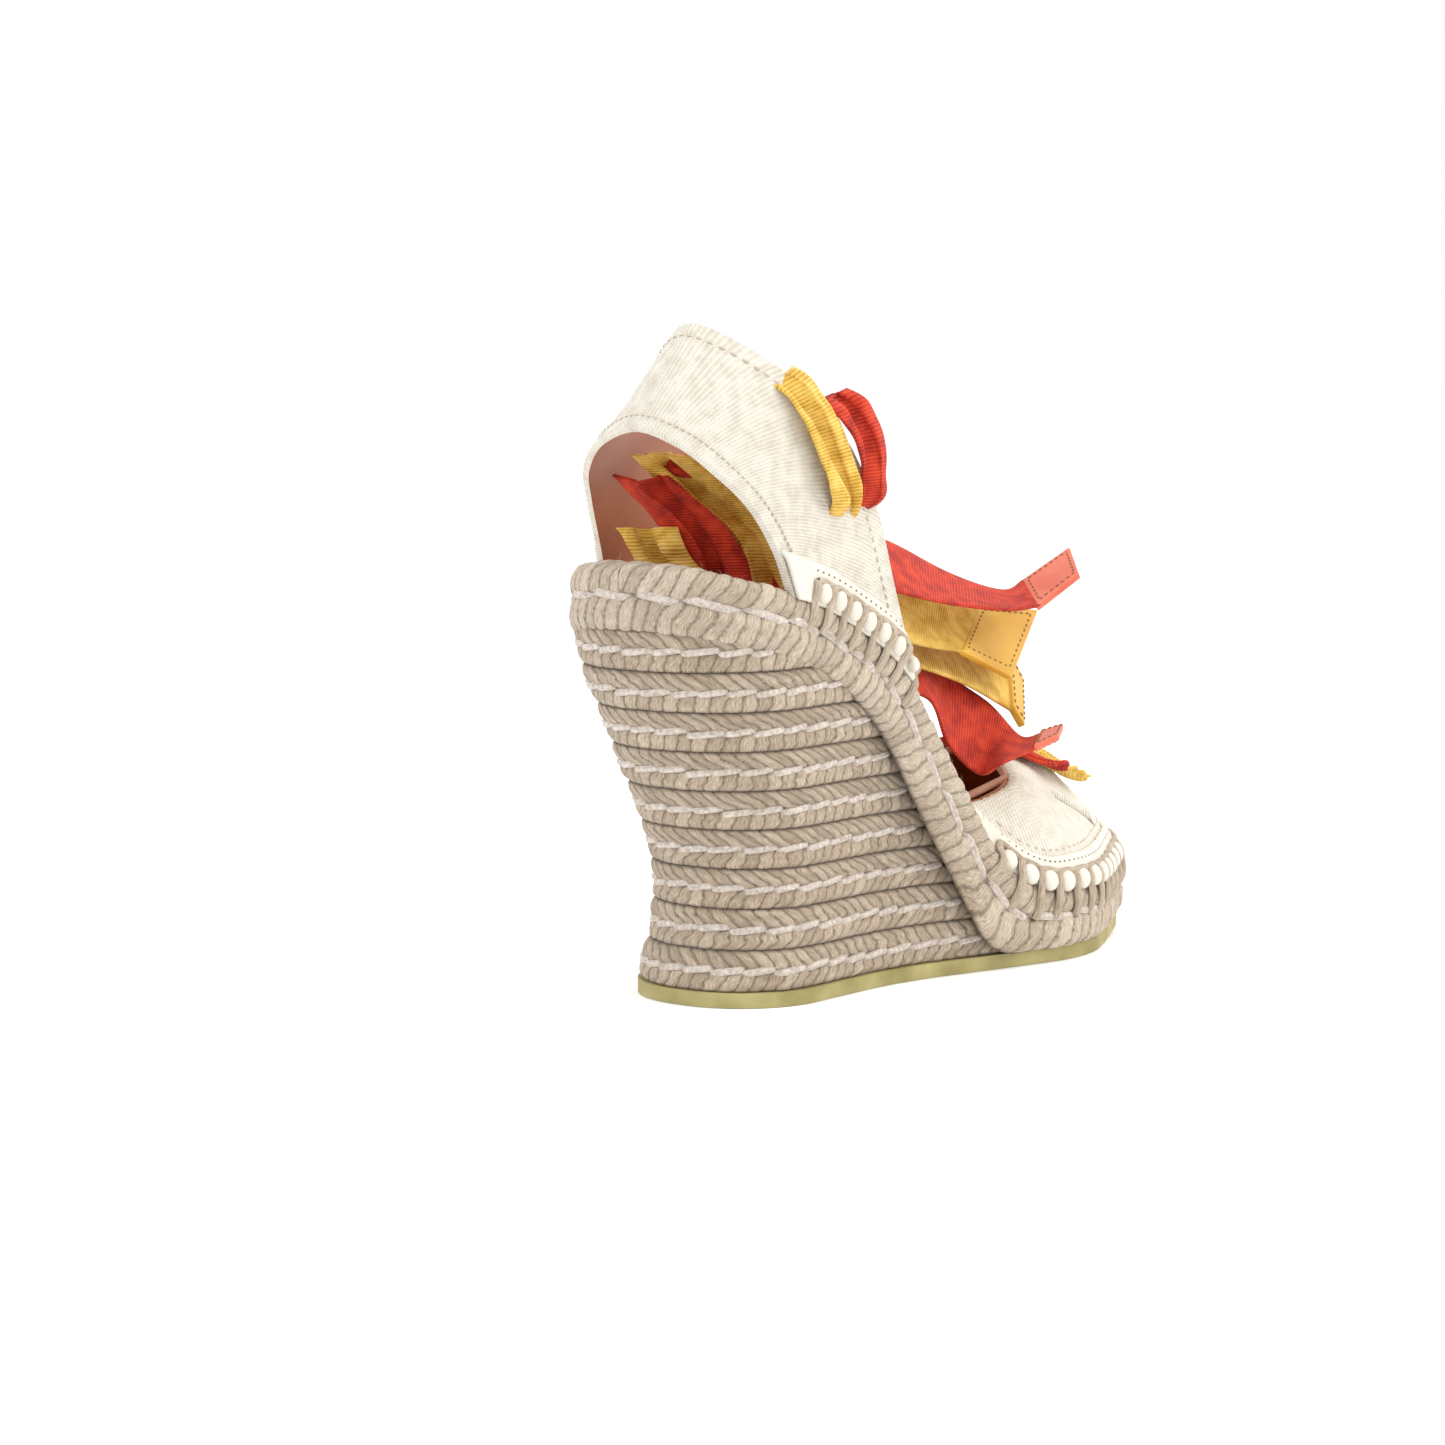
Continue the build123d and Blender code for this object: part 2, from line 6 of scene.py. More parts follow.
import bmesh
import bpy
from mathutils import Matrix, Vector, noise
from mathutils.bvhtree import BVHTree
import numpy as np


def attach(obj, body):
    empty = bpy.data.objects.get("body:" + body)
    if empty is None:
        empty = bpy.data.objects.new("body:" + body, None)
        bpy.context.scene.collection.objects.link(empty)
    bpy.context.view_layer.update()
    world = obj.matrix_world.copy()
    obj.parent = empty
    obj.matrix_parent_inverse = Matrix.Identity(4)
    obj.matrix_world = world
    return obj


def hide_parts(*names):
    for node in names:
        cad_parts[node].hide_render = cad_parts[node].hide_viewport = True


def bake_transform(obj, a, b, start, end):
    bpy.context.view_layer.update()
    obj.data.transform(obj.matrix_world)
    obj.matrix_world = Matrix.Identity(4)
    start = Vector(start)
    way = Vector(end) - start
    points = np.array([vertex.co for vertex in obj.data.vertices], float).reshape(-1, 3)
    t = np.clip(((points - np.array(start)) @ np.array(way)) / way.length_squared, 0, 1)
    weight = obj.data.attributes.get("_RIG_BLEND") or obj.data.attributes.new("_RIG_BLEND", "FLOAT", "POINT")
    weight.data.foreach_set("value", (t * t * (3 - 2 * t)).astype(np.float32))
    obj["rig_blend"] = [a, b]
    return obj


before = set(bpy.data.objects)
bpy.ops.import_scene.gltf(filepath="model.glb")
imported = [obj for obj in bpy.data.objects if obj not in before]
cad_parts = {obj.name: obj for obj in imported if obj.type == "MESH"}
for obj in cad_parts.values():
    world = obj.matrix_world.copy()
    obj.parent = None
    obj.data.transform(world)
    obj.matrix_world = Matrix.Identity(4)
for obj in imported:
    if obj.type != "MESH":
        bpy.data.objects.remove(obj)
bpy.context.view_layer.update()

random.seed(11)

# ---------------------------------------------------------------- Studio
# A seamless white sweep lit by one large soft window on the toe side and a weaker fill behind the heel, so that the
# pale canvas almost melts into the background and the jute keeps soft shadows between its yarns, deepened by shade
# painted into the jute's colour.
MM = 0.001
ORIGIN_X = 95.0  # the frame's origin, measured forwards from the rear of the rim, in mm
SENSOR = 36.0
VIEW_AZIMUTH = math.radians(-51.2)
VIEW_ELEVATION = math.radians(6.3)
VIEW_DISTANCE = 1.122
LOOK_AT = Vector((-0.017464, 0.027939, 0.0699))
LENS = 98.66


def place(x, y, z):
    """A point given in mm from the rear of the rim, the middle line and the ground."""
    return Vector(((x - ORIGIN_X) * MM, y * MM, z * MM))


def tint(code):
    """An sRGB hex colour as linear RGBA."""
    parts = [int(code[k:k + 2], 16) / 255 for k in (0, 2, 4)]
    return [p / 12.92 if p <= 0.04045 else ((p + 0.055) / 1.055) ** 2.4 for p in parts] + [1.0]


def add(tree, kind, settings=(), links=()):
    """Adds a shader node, sets its inputs or properties and links its inputs."""
    made = tree.nodes.new("ShaderNode" + kind)
    for name, value in dict(settings).items():
        if isinstance(name, int) or name in made.inputs:
            made.inputs[name].default_value = value
        else:
            setattr(made, name, value)
    for name, source in dict(links).items():
        tree.links.new(source, made.inputs[name])
    return made


def finish_named(name):
    """A new material with an empty principled surface: (material, its tree, its shader node)."""
    made = bpy.data.materials.new(name)
    made.use_nodes = True
    tree = made.node_tree
    shader = next(n for n in tree.nodes if n.type == "BSDF_PRINCIPLED")
    return made, tree, shader


def studio_light(name, spot, aim, size, power, colour):
    lamp = bpy.data.lights.new(name, "AREA")
    lamp.shape = "RECTANGLE"
    lamp.size, lamp.size_y = size
    lamp.energy = power
    lamp.color = tint(colour)[:3]
    holder = bpy.data.objects.new(name, lamp)
    holder.location = spot
    holder.rotation_euler = (Vector(aim) - Vector(spot)).to_track_quat("-Z", "Y").to_euler()
    bpy.context.collection.objects.link(holder)


camera_data = bpy.data.cameras.new("studio_camera")
camera_data.lens = LENS
camera_data.sensor_width = SENSOR
camera = bpy.data.objects.new("studio_camera", camera_data)
toward = Vector((math.sin(VIEW_AZIMUTH) * math.cos(VIEW_ELEVATION),
                 -math.cos(VIEW_AZIMUTH) * math.cos(VIEW_ELEVATION), math.sin(VIEW_ELEVATION)))
camera.location = LOOK_AT + toward * VIEW_DISTANCE
camera.rotation_euler = (-toward).to_track_quat("-Z", "Y").to_euler()
bpy.context.collection.objects.link(camera)
bpy.context.scene.camera = camera
bpy.context.scene.view_settings.view_transform = "Standard"

studio_light("window_soft", (0.75, -1.1, 1.25), (0, 0, 0.08), (1.3, 1.3), 17.0, "FFFCF7")
studio_light("heel_fill", (-1.3, 0.5, 0.8), (0, 0, 0.08), (0.9, 0.9), 5.0, "FAFBFF")
studio_light("top_soft", (0.0, 0.1, 1.6), (0, 0, 0.05), (1.6, 1.6), 9.0, "FFFFFF")

world = bpy.data.worlds.new("white_room")
bpy.context.scene.world = world
world.use_nodes = True
world.node_tree.nodes["Background"].inputs["Color"].default_value = tint("FFFFFF")
world.node_tree.nodes["Background"].inputs["Strength"].default_value = 1.0

paper, paper_tree, paper_shader = finish_named("white_paper_sweep")
paper_shader.inputs["Base Color"].default_value = tint("F4F4F4")
paper_shader.inputs["Roughness"].default_value = 0.9
paper_shader.inputs["Emission Color"].default_value = tint("FFFFFF")
paper_shader.inputs["Emission Strength"].default_value = 0.12

floor_mesh = bmesh.new()
bmesh.ops.create_grid(floor_mesh, x_segments=1, y_segments=1, size=6.0)
floor_data = bpy.data.meshes.new("floor")
floor_mesh.to_mesh(floor_data)
floor_mesh.free()
floor_data.materials.append(paper)
floor = bpy.data.objects.new("floor", floor_data)
floor.location.z = -0.0002
bpy.context.collection.objects.link(floor)

# ---------------------------------------------------------------- Rubber outsole
# A 4 mm sheet of olive crepe rubber, die-cut a little wider than the lowest braid and glued under it. Its cut edge
# is dull, with the fine tooth that the knife leaves.


def crepe_rubber():
    """Vulcanised crepe rubber, die-cut: a dull olive with a fine tooth on the cut edge."""
    made, tree, shader = finish_named("die_cut_crepe_rubber")
    where = add(tree, "TexCoord")
    cloud = add(tree, "TexNoise", {"Scale": 60.0, "Detail": 4.0}, {"Vector": where.outputs["Object"]})
    tone = add(tree, "ValToRGB", links={"Fac": cloud.outputs["Fac"]})
    tone.color_ramp.elements[0].position = 0.35
    tone.color_ramp.elements[0].color = tint("8F8450")
    tone.color_ramp.elements[1].position = 0.7
    tone.color_ramp.elements[1].color = tint("B5AA74")
    tree.links.new(tone.outputs["Color"], shader.inputs["Base Color"])
    tooth = add(tree, "TexNoise", {"Scale": 1400.0, "Detail": 2.0}, {"Vector": where.outputs["Object"]})
    bump = add(tree, "Bump", {"Strength": 0.5, "Distance": 0.0002}, {"Height": tooth.outputs["Fac"]})
    tree.links.new(bump.outputs["Normal"], shader.inputs["Normal"])
    shader.inputs["Roughness"].default_value = 0.72
    return made


def dress(node, material):
    """Gives a CAD node its finish."""
    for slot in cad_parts[node].material_slots:
        slot.material = material


dress("rubber_outsole", crepe_rubber())

# ---------------------------------------------------------------- Wedge core and footbed
# Under the braid is a block of granulated cork. Over it, inside the band, lie the cork platform filler, a pressed
# fibre board, a latex foam pad and the tan leather sock that the foot rests on.


def pressed_grain(name, dark, light, grain):
    """Pressed cork, fibre or foam: two close tones in grains of the given size in mm."""
    made, tree, shader = finish_named(name)
    where = add(tree, "TexCoord")
    cells = add(tree, "TexVoronoi", {"Scale": 1 / (grain * MM)}, {"Vector": where.outputs["Object"]})
    tone = add(tree, "ValToRGB", links={"Fac": cells.outputs["Distance"]})
    tone.color_ramp.elements[0].color = tint(light)
    tone.color_ramp.elements[1].color = tint(dark)
    tree.links.new(tone.outputs["Color"], shader.inputs["Base Color"])
    bump = add(tree, "Bump", {"Strength": 0.4, "Distance": 0.0003}, {"Height": cells.outputs["Distance"]})
    tree.links.new(bump.outputs["Normal"], shader.inputs["Normal"])
    shader.inputs["Roughness"].default_value = 0.9
    return made


def smooth_leather(name, dark, light, roughness=0.42):
    """Vegetable-tanned leather, plated smooth: faint cloudy tone, fine pores, a satin sheen."""
    made, tree, shader = finish_named(name)
    where = add(tree, "TexCoord")
    cloud = add(tree, "TexNoise", {"Scale": 45.0, "Detail": 5.0}, {"Vector": where.outputs["Object"]})
    tone = add(tree, "ValToRGB", links={"Fac": cloud.outputs["Fac"]})
    tone.color_ramp.elements[0].position = 0.3
    tone.color_ramp.elements[0].color = tint(dark)
    tone.color_ramp.elements[1].position = 0.7
    tone.color_ramp.elements[1].color = tint(light)
    tree.links.new(tone.outputs["Color"], shader.inputs["Base Color"])
    pores = add(tree, "TexVoronoi", {"Scale": 1300.0}, {"Vector": where.outputs["Object"]})
    bump = add(tree, "Bump", {"Strength": 0.25, "Distance": 0.0001}, {"Height": pores.outputs["Distance"]})
    tree.links.new(bump.outputs["Normal"], shader.inputs["Normal"])
    shader.inputs["Roughness"].default_value = roughness
    return made


cork = pressed_grain("granulated_cork", "8A6238", "C79B62", 2.2)
dress("wedge_core", cork)
dress("platform_filler", cork)
dress("insole_board", pressed_grain("pressed_fibre_board", "6E5136", "8C6C4B", 0.8))
dress("footbed_foam", pressed_grain("latex_foam", "D9CBA0", "EADFBB", 1.0))
tan_leather = smooth_leather("tan_lining_leather", "9A5936", "B3714A")
dress("sock_lining", tan_leather)

# ---------------------------------------------------------------- Braided jute wedge
# Nine turns of flat jute braid, each 11 mm high, are stacked round the cork and glued and sewn. Every turn shows two
# strands whose yarns lean against each other like a herringbone, and a waxed thread runs in the groove between.
HEEL_RISE = 120.0
HEEL_HALF_WIDTH = 33.8
BALL_OUTER_WIDTH = 42.7
BALL_INNER_WIDTH = 39.8
SHOE_LENGTH = 215.0
FOREPART_RISE = 21.0
BAND_DEPTH = 17.0
BRAID_ROWS = 9
BRAID_PITCH = 11.0
SOLE_TOP = 4.0
YARN_PITCH = 4.3
HEEL_SETBACK = 29.0
SETBACK_SHARES = [(0.0, 0.82), (0.06, 0.84), (0.13, 0.95), (0.26, 1.0), (0.39, 0.91), (0.49, 0.76),
                  (0.60, 0.57), (0.68, 0.44), (0.76, 0.31), (0.84, 0.15), (0.92, 0.05), (1.0, 0.0)]


def jute_yarn(name, groove_shade_colour, dark, light, palest):
    """Spun jute: straw-coloured bast fibres, each yarn its own shade, with painted shade where it dives under the
    next.
    """
    made, tree, shader = finish_named(name)
    fibres_at = add(tree, "UVMap")
    stretched = add(tree, "Mapping", {"Scale": (3000.0, 300.0, 1.0)}, {"Vector": fibres_at.outputs["UV"]})
    fibres = add(tree, "TexNoise", {"Scale": 1.0, "Detail": 5.0, "Roughness": 0.65},
                 {"Vector": stretched.outputs["Vector"]})
    own = add(tree, "Attribute", {"attribute_name": "tone"})
    shade = add(tree, "Math", {"operation": "MULTIPLY_ADD", 1: 0.4}, {0: own.outputs["Fac"]})
    half = add(tree, "Math", {"operation": "MULTIPLY_ADD", 1: 1.5, 2: -0.48}, {0: fibres.outputs["Fac"]})
    tree.links.new(half.outputs["Value"], shade.inputs[2])
    tone = add(tree, "ValToRGB", links={"Fac": shade.outputs["Value"]})
    tone.color_ramp.elements[0].position = 0.22
    tone.color_ramp.elements[0].color = tint(dark)
    tone.color_ramp.elements[1].position = 0.85
    tone.color_ramp.elements[1].color = tint(palest)
    middle = tone.color_ramp.elements.new(0.52)
    middle.color = tint(light)
    # Painted shade: this attribute mixes the darkest colour in where yarns dive under each other and in the grooves
    # between strands.
    groove_shade = add(tree, "Attribute", {"attribute_name": "groove_shade"})
    groove_shaded_tone = add(tree, "Mix", {"data_type": "RGBA", "blend_type": "MIX"}, {"Factor": groove_shade.outputs["Fac"]})
    tree.links.new(tone.outputs["Color"], groove_shaded_tone.inputs[6])
    groove_shaded_tone.inputs[7].default_value = tint(groove_shade_colour)
    tree.links.new(groove_shaded_tone.outputs[2], shader.inputs["Base Color"])
    bump = add(tree, "Bump", {"Strength": 0.9, "Distance": 0.0009}, {"Height": fibres.outputs["Fac"]})
    tree.links.new(bump.outputs["Normal"], shader.inputs["Normal"])
    shader.inputs["Roughness"].default_value = 0.78
    shader.inputs["Sheen Weight"].default_value = 0.15
    return made


def left_of(run):
    return Vector((-run.y, run.x))


def soften(corners, shift=0.0, step=0.7):
    """Points along an open outline of (x, y, radius) corners, rounded, and moved to its left by shift; in mm."""
    points = [Vector((x, y)) for x, y, radius in corners]
    runs = [(b - a).normalized() for a, b in zip(points, points[1:])]
    outline = [points[0] + left_of(runs[0]) * shift]
    for k in range(1, len(points) - 1):
        before, after = runs[k - 1], runs[k]
        turn = before.cross(after)
        corner = points[k] + (left_of(before) + left_of(after)) * (shift / (1 + before.dot(after)))
        radius = corners[k][2] - math.copysign(shift, turn)
        angle = before.angle(after)
        start = corner - before * radius * math.tan(angle / 2)
        centre = start + left_of(before) * math.copysign(radius, turn)
        count = max(2, round(radius * angle / step))
        for j in range(count + 1):
            swing = math.copysign(angle, turn) * j / count
            outline.append(centre + Matrix.Rotation(swing, 2) @ (start - centre))
    outline.append(points[-1] + left_of(runs[-1]) * shift)
    return outline


def lengths_along(points):
    """Running length at each point."""
    total = [0.0]
    for a, b in zip(points, points[1:]):
        total.append(total[-1] + (b - a).length)
    return total


def even(points, step=0.8):
    """The same line with points about one step apart."""
    lengths = lengths_along(points)
    count = round(lengths[-1] / step)
    return [walk(points, lengths, lengths[-1] * k / count) for k in range(count + 1)]


def walk(points, lengths, distance):
    """The point at a distance along a polyline."""
    k = min(max(bisect.bisect_right(lengths, distance) - 1, 0), len(points) - 2)
    share = (distance - lengths[k]) / max(lengths[k + 1] - lengths[k], 1e-9)
    return points[k].lerp(points[k + 1], min(max(share, 0.0), 1.0))


def read_off(table, x):
    """Straight-line reading of a table of (x, value) pairs."""
    for (x0, v0), (x1, v1) in zip(table, table[1:]):
        if x <= x1:
            return v0 + (v1 - v0) * max(0.0, x - x0) / (x1 - x0)
    return table[-1][1]


def sole_outline(rear, heel, outer, inner, toe, inset=0.0):
    """A right sole's outline from the middle of its rear, along the outer side to the toe and back inside."""
    corners = [(rear, 0, 0), (rear, -heel, heel - 2.4), (88, 1.3 - heel, 120),
               (toe - 57, -1.06 * outer, 45), (toe - 2, -0.48 * outer, 28), (toe + 0.5, 0.63 * inner, 26),
               (toe - 52, 1.04 * inner, 60), (90, heel - 1.3, 120), (rear, heel, heel - 2.4), (rear, 0, 0)]
    return even(soften(corners, inset))


def side_line(depth):
    """The rim's line in side view, moved down square to itself, as (x, z) points from heel to toe."""
    corners = [(-15, 123.6, 0), (46, 109, 90), (82.5, 91, 60), (128.3, 21, 35), (178, 21, 120), (230, 26.34, 0)]
    return [(p.x, p.y) for p in soften(corners, -depth)]


def grid_piece(name, columns, rows, spot, material):
    """A woven or laid piece: a grid whose points spot(u, v) gives as (point, uv, tone, painted groove shade)."""
    shape = bmesh.new()
    tone = shape.verts.layers.float.new("tone")
    groove_shade = shape.verts.layers.float.new("groove_shade")
    bmesh.ops.create_grid(shape, x_segments=columns, y_segments=rows, size=0.5)
    seen = {}
    for vert in shape.verts:
        point, flat, vert[tone], vert[groove_shade] = spot(vert.co.x + 0.5, vert.co.y + 0.5)
        vert.co = point
        seen[vert] = flat
    sheet = shape.loops.layers.uv.new("UVMap")
    for face in shape.faces:
        face.smooth = True
        for loop in face.loops:
            loop[sheet].uv = seen[loop.vert]
    return piece_from(shape, name, material)


def piece_from(shape, name, *materials):
    data = bpy.data.meshes.new(name)
    shape.to_mesh(data)
    shape.free()
    for material in materials:
        data.materials.append(material)
    made = bpy.data.objects.new(name, data)
    bpy.context.collection.objects.link(made)
    return made


def yarn(along, across, half_height, lean, pitch, seed):
    """One point of a plaited strand: (ridge height 0 to 1, shade of this yarn, texture place)."""
    drift = noise.noise(Vector((along * 0.09, across * 1.3, seed))) * 0.35
    phase = (along + lean * across * half_height) / pitch + drift
    number = math.floor(phase)
    inside = phase - number
    ridge = max(0.0, 1 - (2 * inside - 1) ** 2) ** 0.6
    shade = noise.cell(Vector((number * 1.7 + 0.5, seed * 3.1 + 0.5, 0.5)))
    return ridge, shade, ((inside * pitch + number * 31.0) * MM, (across * half_height * 1.6 + seed * 7) * MM)


def strand_height(across, ridge, shade, fullness):
    """How far a strand's surface stands out, in mm, from its sunk edge."""
    belly = math.sqrt(max(0.0, 1 - across * across * 0.98))
    return fullness * belly + (0.5 + 0.3 * shade) * ridge * (0.35 + 0.65 * belly)


band_floor = [(z, x) for x, z in reversed(side_line(BAND_DEPTH)) if x < 140]


def wedge_outline(z):
    share = min(max((z - SOLE_TOP) / (HEEL_RISE - BAND_DEPTH - SOLE_TOP), 0.0), 1.0)
    back = HEEL_SETBACK * read_off(SETBACK_SHARES, share)
    return sole_outline(back, HEEL_HALF_WIDTH - 0.28 * back, BALL_OUTER_WIDTH - 2, BALL_INNER_WIDTH - 2, 213)


def braid_turn(row):
    """The place of every point of one turn, and of its thread."""
    base = SOLE_TOP + row * BRAID_PITCH
    levels = []
    count = 26
    for j in range(count + 1):
        z = base + BRAID_PITCH * j / count
        outline = wedge_outline(z)
        lengths = lengths_along(outline)
        front = read_off(band_floor, z) + 5.0
        reach = [s for p, s in zip(outline, lengths) if p.x <= front]
        outer = max([s for s in reach if s < lengths[-1] / 2], default=0.0)
        inner = min([s for s in reach if s > lengths[-1] / 2], default=lengths[-1]) - lengths[-1]
        levels.append((z, outline, lengths, outer, inner))
    furthest = max(level[3] for level in levels)
    nearest = min(level[4] for level in levels)

    def surface(along, height):
        """The point and outward direction at a distance round the wedge and a share of the turn's height."""
        j = min(int(height * count + 0.5), count)
        z, outline, lengths, outer, inner = levels[j]
        along = min(max(along, inner), outer)
        wrapped = along % lengths[-1]
        point = walk(outline, lengths, wrapped)
        ahead = walk(outline, lengths, (wrapped + 0.6) % lengths[-1])
        behind = walk(outline, lengths, (wrapped - 0.6) % lengths[-1])
        out = -left_of((ahead - behind).normalized())
        return Vector((point.x, point.y, z)), Vector((out.x, out.y, 0)), along

    def spot(u, v):
        along = nearest + u * (furthest - nearest)
        point, out, kept = surface(along, v)
        upper = v > 0.5
        across = (v - (0.75 if upper else 0.25)) * 4
        seed = row * 2 + upper
        lean = 1.15 if upper else -0.55
        ridge, shade, flat = yarn(kept, across, BRAID_PITCH / 4, lean, YARN_PITCH, seed)
        height = strand_height(across, ridge, shade, 1.3) - 1.5
        height += 0.12 * noise.noise(point * 1.1)
        # Painted light: a highlight on each yarn's crest goes into the tone, and shade where yarns dive and at strand
        # edges goes into the groove value.
        gap = max(0.0, abs(across) - 0.78) * (3.4 if (v < 0.2 or v > 0.8) else 2.2)
        groove_shade = min(1.0, max(0.0, 1.0 - ridge * 2.2) * 0.5 + gap)
        spread = point + out * height
        return place(*spread), flat, 0.42 + 0.2 * shade + 0.2 * ridge, groove_shade

    return spot, surface, nearest, furthest


def lay_thread(shape, path, outward, width, thick, sink, tone_value=0.5):
    """Adds one stitch: a half-round strip along a path, sinking at its ends."""
    tone = shape.verts.layers.float["tone"]
    strip = bmesh.ops.create_grid(shape, x_segments=8, y_segments=4, size=0.5)["verts"]
    lengths = lengths_along(path)
    for vert in strip:
        u, v = vert.co.x + 0.5, vert.co.y + 0.5
        here = walk(path, lengths, u * lengths[-1])
        step = walk(path, lengths, u * lengths[-1] + 0.05 * lengths[-1]) - \
            walk(path, lengths, u * lengths[-1] - 0.05 * lengths[-1])
        side = outward.cross(step).normalized()
        full = min(1.0, 4.2 * u, 4.2 * (1 - u)) ** 0.5
        angle = math.pi * (1 - v)
        vert.co = here + side * (math.cos(angle) * width / 2 * (0.45 + 0.55 * full)) \
            + outward * (math.sin(angle) * thick * full - sink * (1 - full))
        vert[tone] = tone_value


def waxed_thread():
    """Waxed linen thread: grey beige, flat and slightly shiny where it is pulled tight."""
    made, tree, shader = finish_named("waxed_linen_thread")
    where = add(tree, "TexCoord")
    ply = add(tree, "TexNoise", {"Scale": 900.0, "Detail": 4.0}, {"Vector": where.outputs["Object"]})
    tone = add(tree, "ValToRGB", links={"Fac": ply.outputs["Fac"]})
    tone.color_ramp.elements[0].position = 0.3
    tone.color_ramp.elements[0].color = tint("A3968A")
    tone.color_ramp.elements[1].position = 0.72
    tone.color_ramp.elements[1].color = tint("D6CCC2")
    tree.links.new(tone.outputs["Color"], shader.inputs["Base Color"])
    bump = add(tree, "Bump", {"Strength": 0.45, "Distance": 0.0003}, {"Height": ply.outputs["Fac"]})
    tree.links.new(bump.outputs["Normal"], shader.inputs["Normal"])
    shader.inputs["Roughness"].default_value = 0.5
    return made


def empty_stitches():
    shape = bmesh.new()
    shape.verts.layers.float.new("tone")
    return shape


jute = jute_yarn("spun_jute_yarn", "4E3D2B", "8A7660", "BBA78F", "E3D4BF")
thread = waxed_thread()
for row in range(BRAID_ROWS):
    spot, surface, nearest, furthest = braid_turn(row)
    turn = grid_piece(f"jute_turn_{row + 1}", round((furthest - nearest) / 0.55), 26, spot, jute)
    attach(turn, "sole_unit")
    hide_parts(f"braid_row_{row + 1}")
    shape = empty_stitches()
    along = nearest + random.uniform(0, 6)
    while along < furthest - 9:
        drop = random.uniform(-0.05, 0.05)
        reach = random.uniform(9.5, 12.5)
        path = []
        for k in range(7):
            point, out, kept = surface(along + reach * k / 6, 0.5)
            wave = 0.5 * math.sin(math.pi * (k / 6 - 0.5)) + drop * 8
            path.append(place(*(point + out * -0.35 + Vector((0, 0, wave)))))
        middle, out, kept = surface(along + reach / 2, 0.5)
        lay_thread(shape, path, out, 2.1 * MM, 1.0 * MM, 0.9 * MM)
        along += reach - 2.0
    stitches = piece_from(shape, f"row_thread_{row + 1}", thread)
    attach(stitches, "sole_unit")
    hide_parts(f"braid_thread_{row + 1}")

# ---------------------------------------------------------------- Jute platform band
# A thicker flat braid stands on edge round the whole footbed. Its upper strand rolls over the rim, its lower strand
# hides the ends of the wedge's turns, and long flat stitches of waxed thread lie in the groove between them.
BAND_SEAM = 7.6
BAND_YARN = 4.6
UPPER_ROLL = [(-1.5, 7.6), (0.1, 6.9), (0.7, 5.4), (0.75, 3.4), (0.3, 1.5), (-0.8, 0.2), (-2.8, -0.4), (-5.5, -0.5),
              (-8.2, -0.2), (-9.6, 0.9), (-10.1, 3.4)]
LOWER_ROLL = [(-1.5, 7.6), (0.2, 8.4), (0.95, 10.0), (1.15, 12.3), (0.85, 14.7), (-0.2, 16.3), (-1.9, 17.1)]

rim = sole_outline(0.0, HEEL_HALF_WIDTH, BALL_OUTER_WIDTH, BALL_INNER_WIDTH, SHOE_LENGTH)
rim_lengths = lengths_along(rim)
RIM_LENGTH = rim_lengths[-1]


@functools.lru_cache(maxsize=None)
def level_line(depth):
    points = side_line(depth)
    return [x for x, z in points], [z for x, z in points]


def rim_height(x, depth=0.0):
    """Height of the rim's line, or of the line a depth below it, at x."""
    xs, zs = level_line(round(depth, 1))
    k = min(max(bisect.bisect_right(xs, x) - 1, 0), len(xs) - 2)
    return zs[k] + (zs[k + 1] - zs[k]) * (x - xs[k]) / (xs[k + 1] - xs[k])


def rim_at(along):
    """The rim's plan point, its forward run and its outward direction at a distance round from the heel."""
    along %= RIM_LENGTH
    point = walk(rim, rim_lengths, along)
    run = (walk(rim, rim_lengths, (along + 0.8) % RIM_LENGTH) - walk(rim, rim_lengths, (along - 0.8) % RIM_LENGTH))
    run = run.normalized() if run.length > 1e-6 else Vector((0, -1))
    return point, run, -left_of(run)


rim_run = lengths_along([Vector((p.x, p.y, rim_height(p.x))) for p in rim])
RIM_RUN = rim_run[-1]


def along_at(distance):
    """The plan distance round the rim that lies a true distance along the rim's slopes."""
    distance %= RIM_RUN
    k = min(max(bisect.bisect_right(rim_run, distance) - 1, 0), len(rim_run) - 2)
    share = (distance - rim_run[k]) / (rim_run[k + 1] - rim_run[k])
    return rim_lengths[k] + (rim_lengths[k + 1] - rim_lengths[k]) * share


def on_band(along, out, depth):
    """A point on the band, in mm: out from its face and a depth square to the footbed below the rim."""
    point, run, outward = rim_at(along)
    fall = (rim_height(point.x + 1) - rim_height(point.x - 1)) / 2
    slide = fall / math.hypot(1, fall) * depth
    point, run, outward = rim_at(along + slide * run.x)
    spread = point + outward * out
    return Vector((spread.x, spread.y, rim_height(point.x, depth))), Vector((outward.x, outward.y, 0))


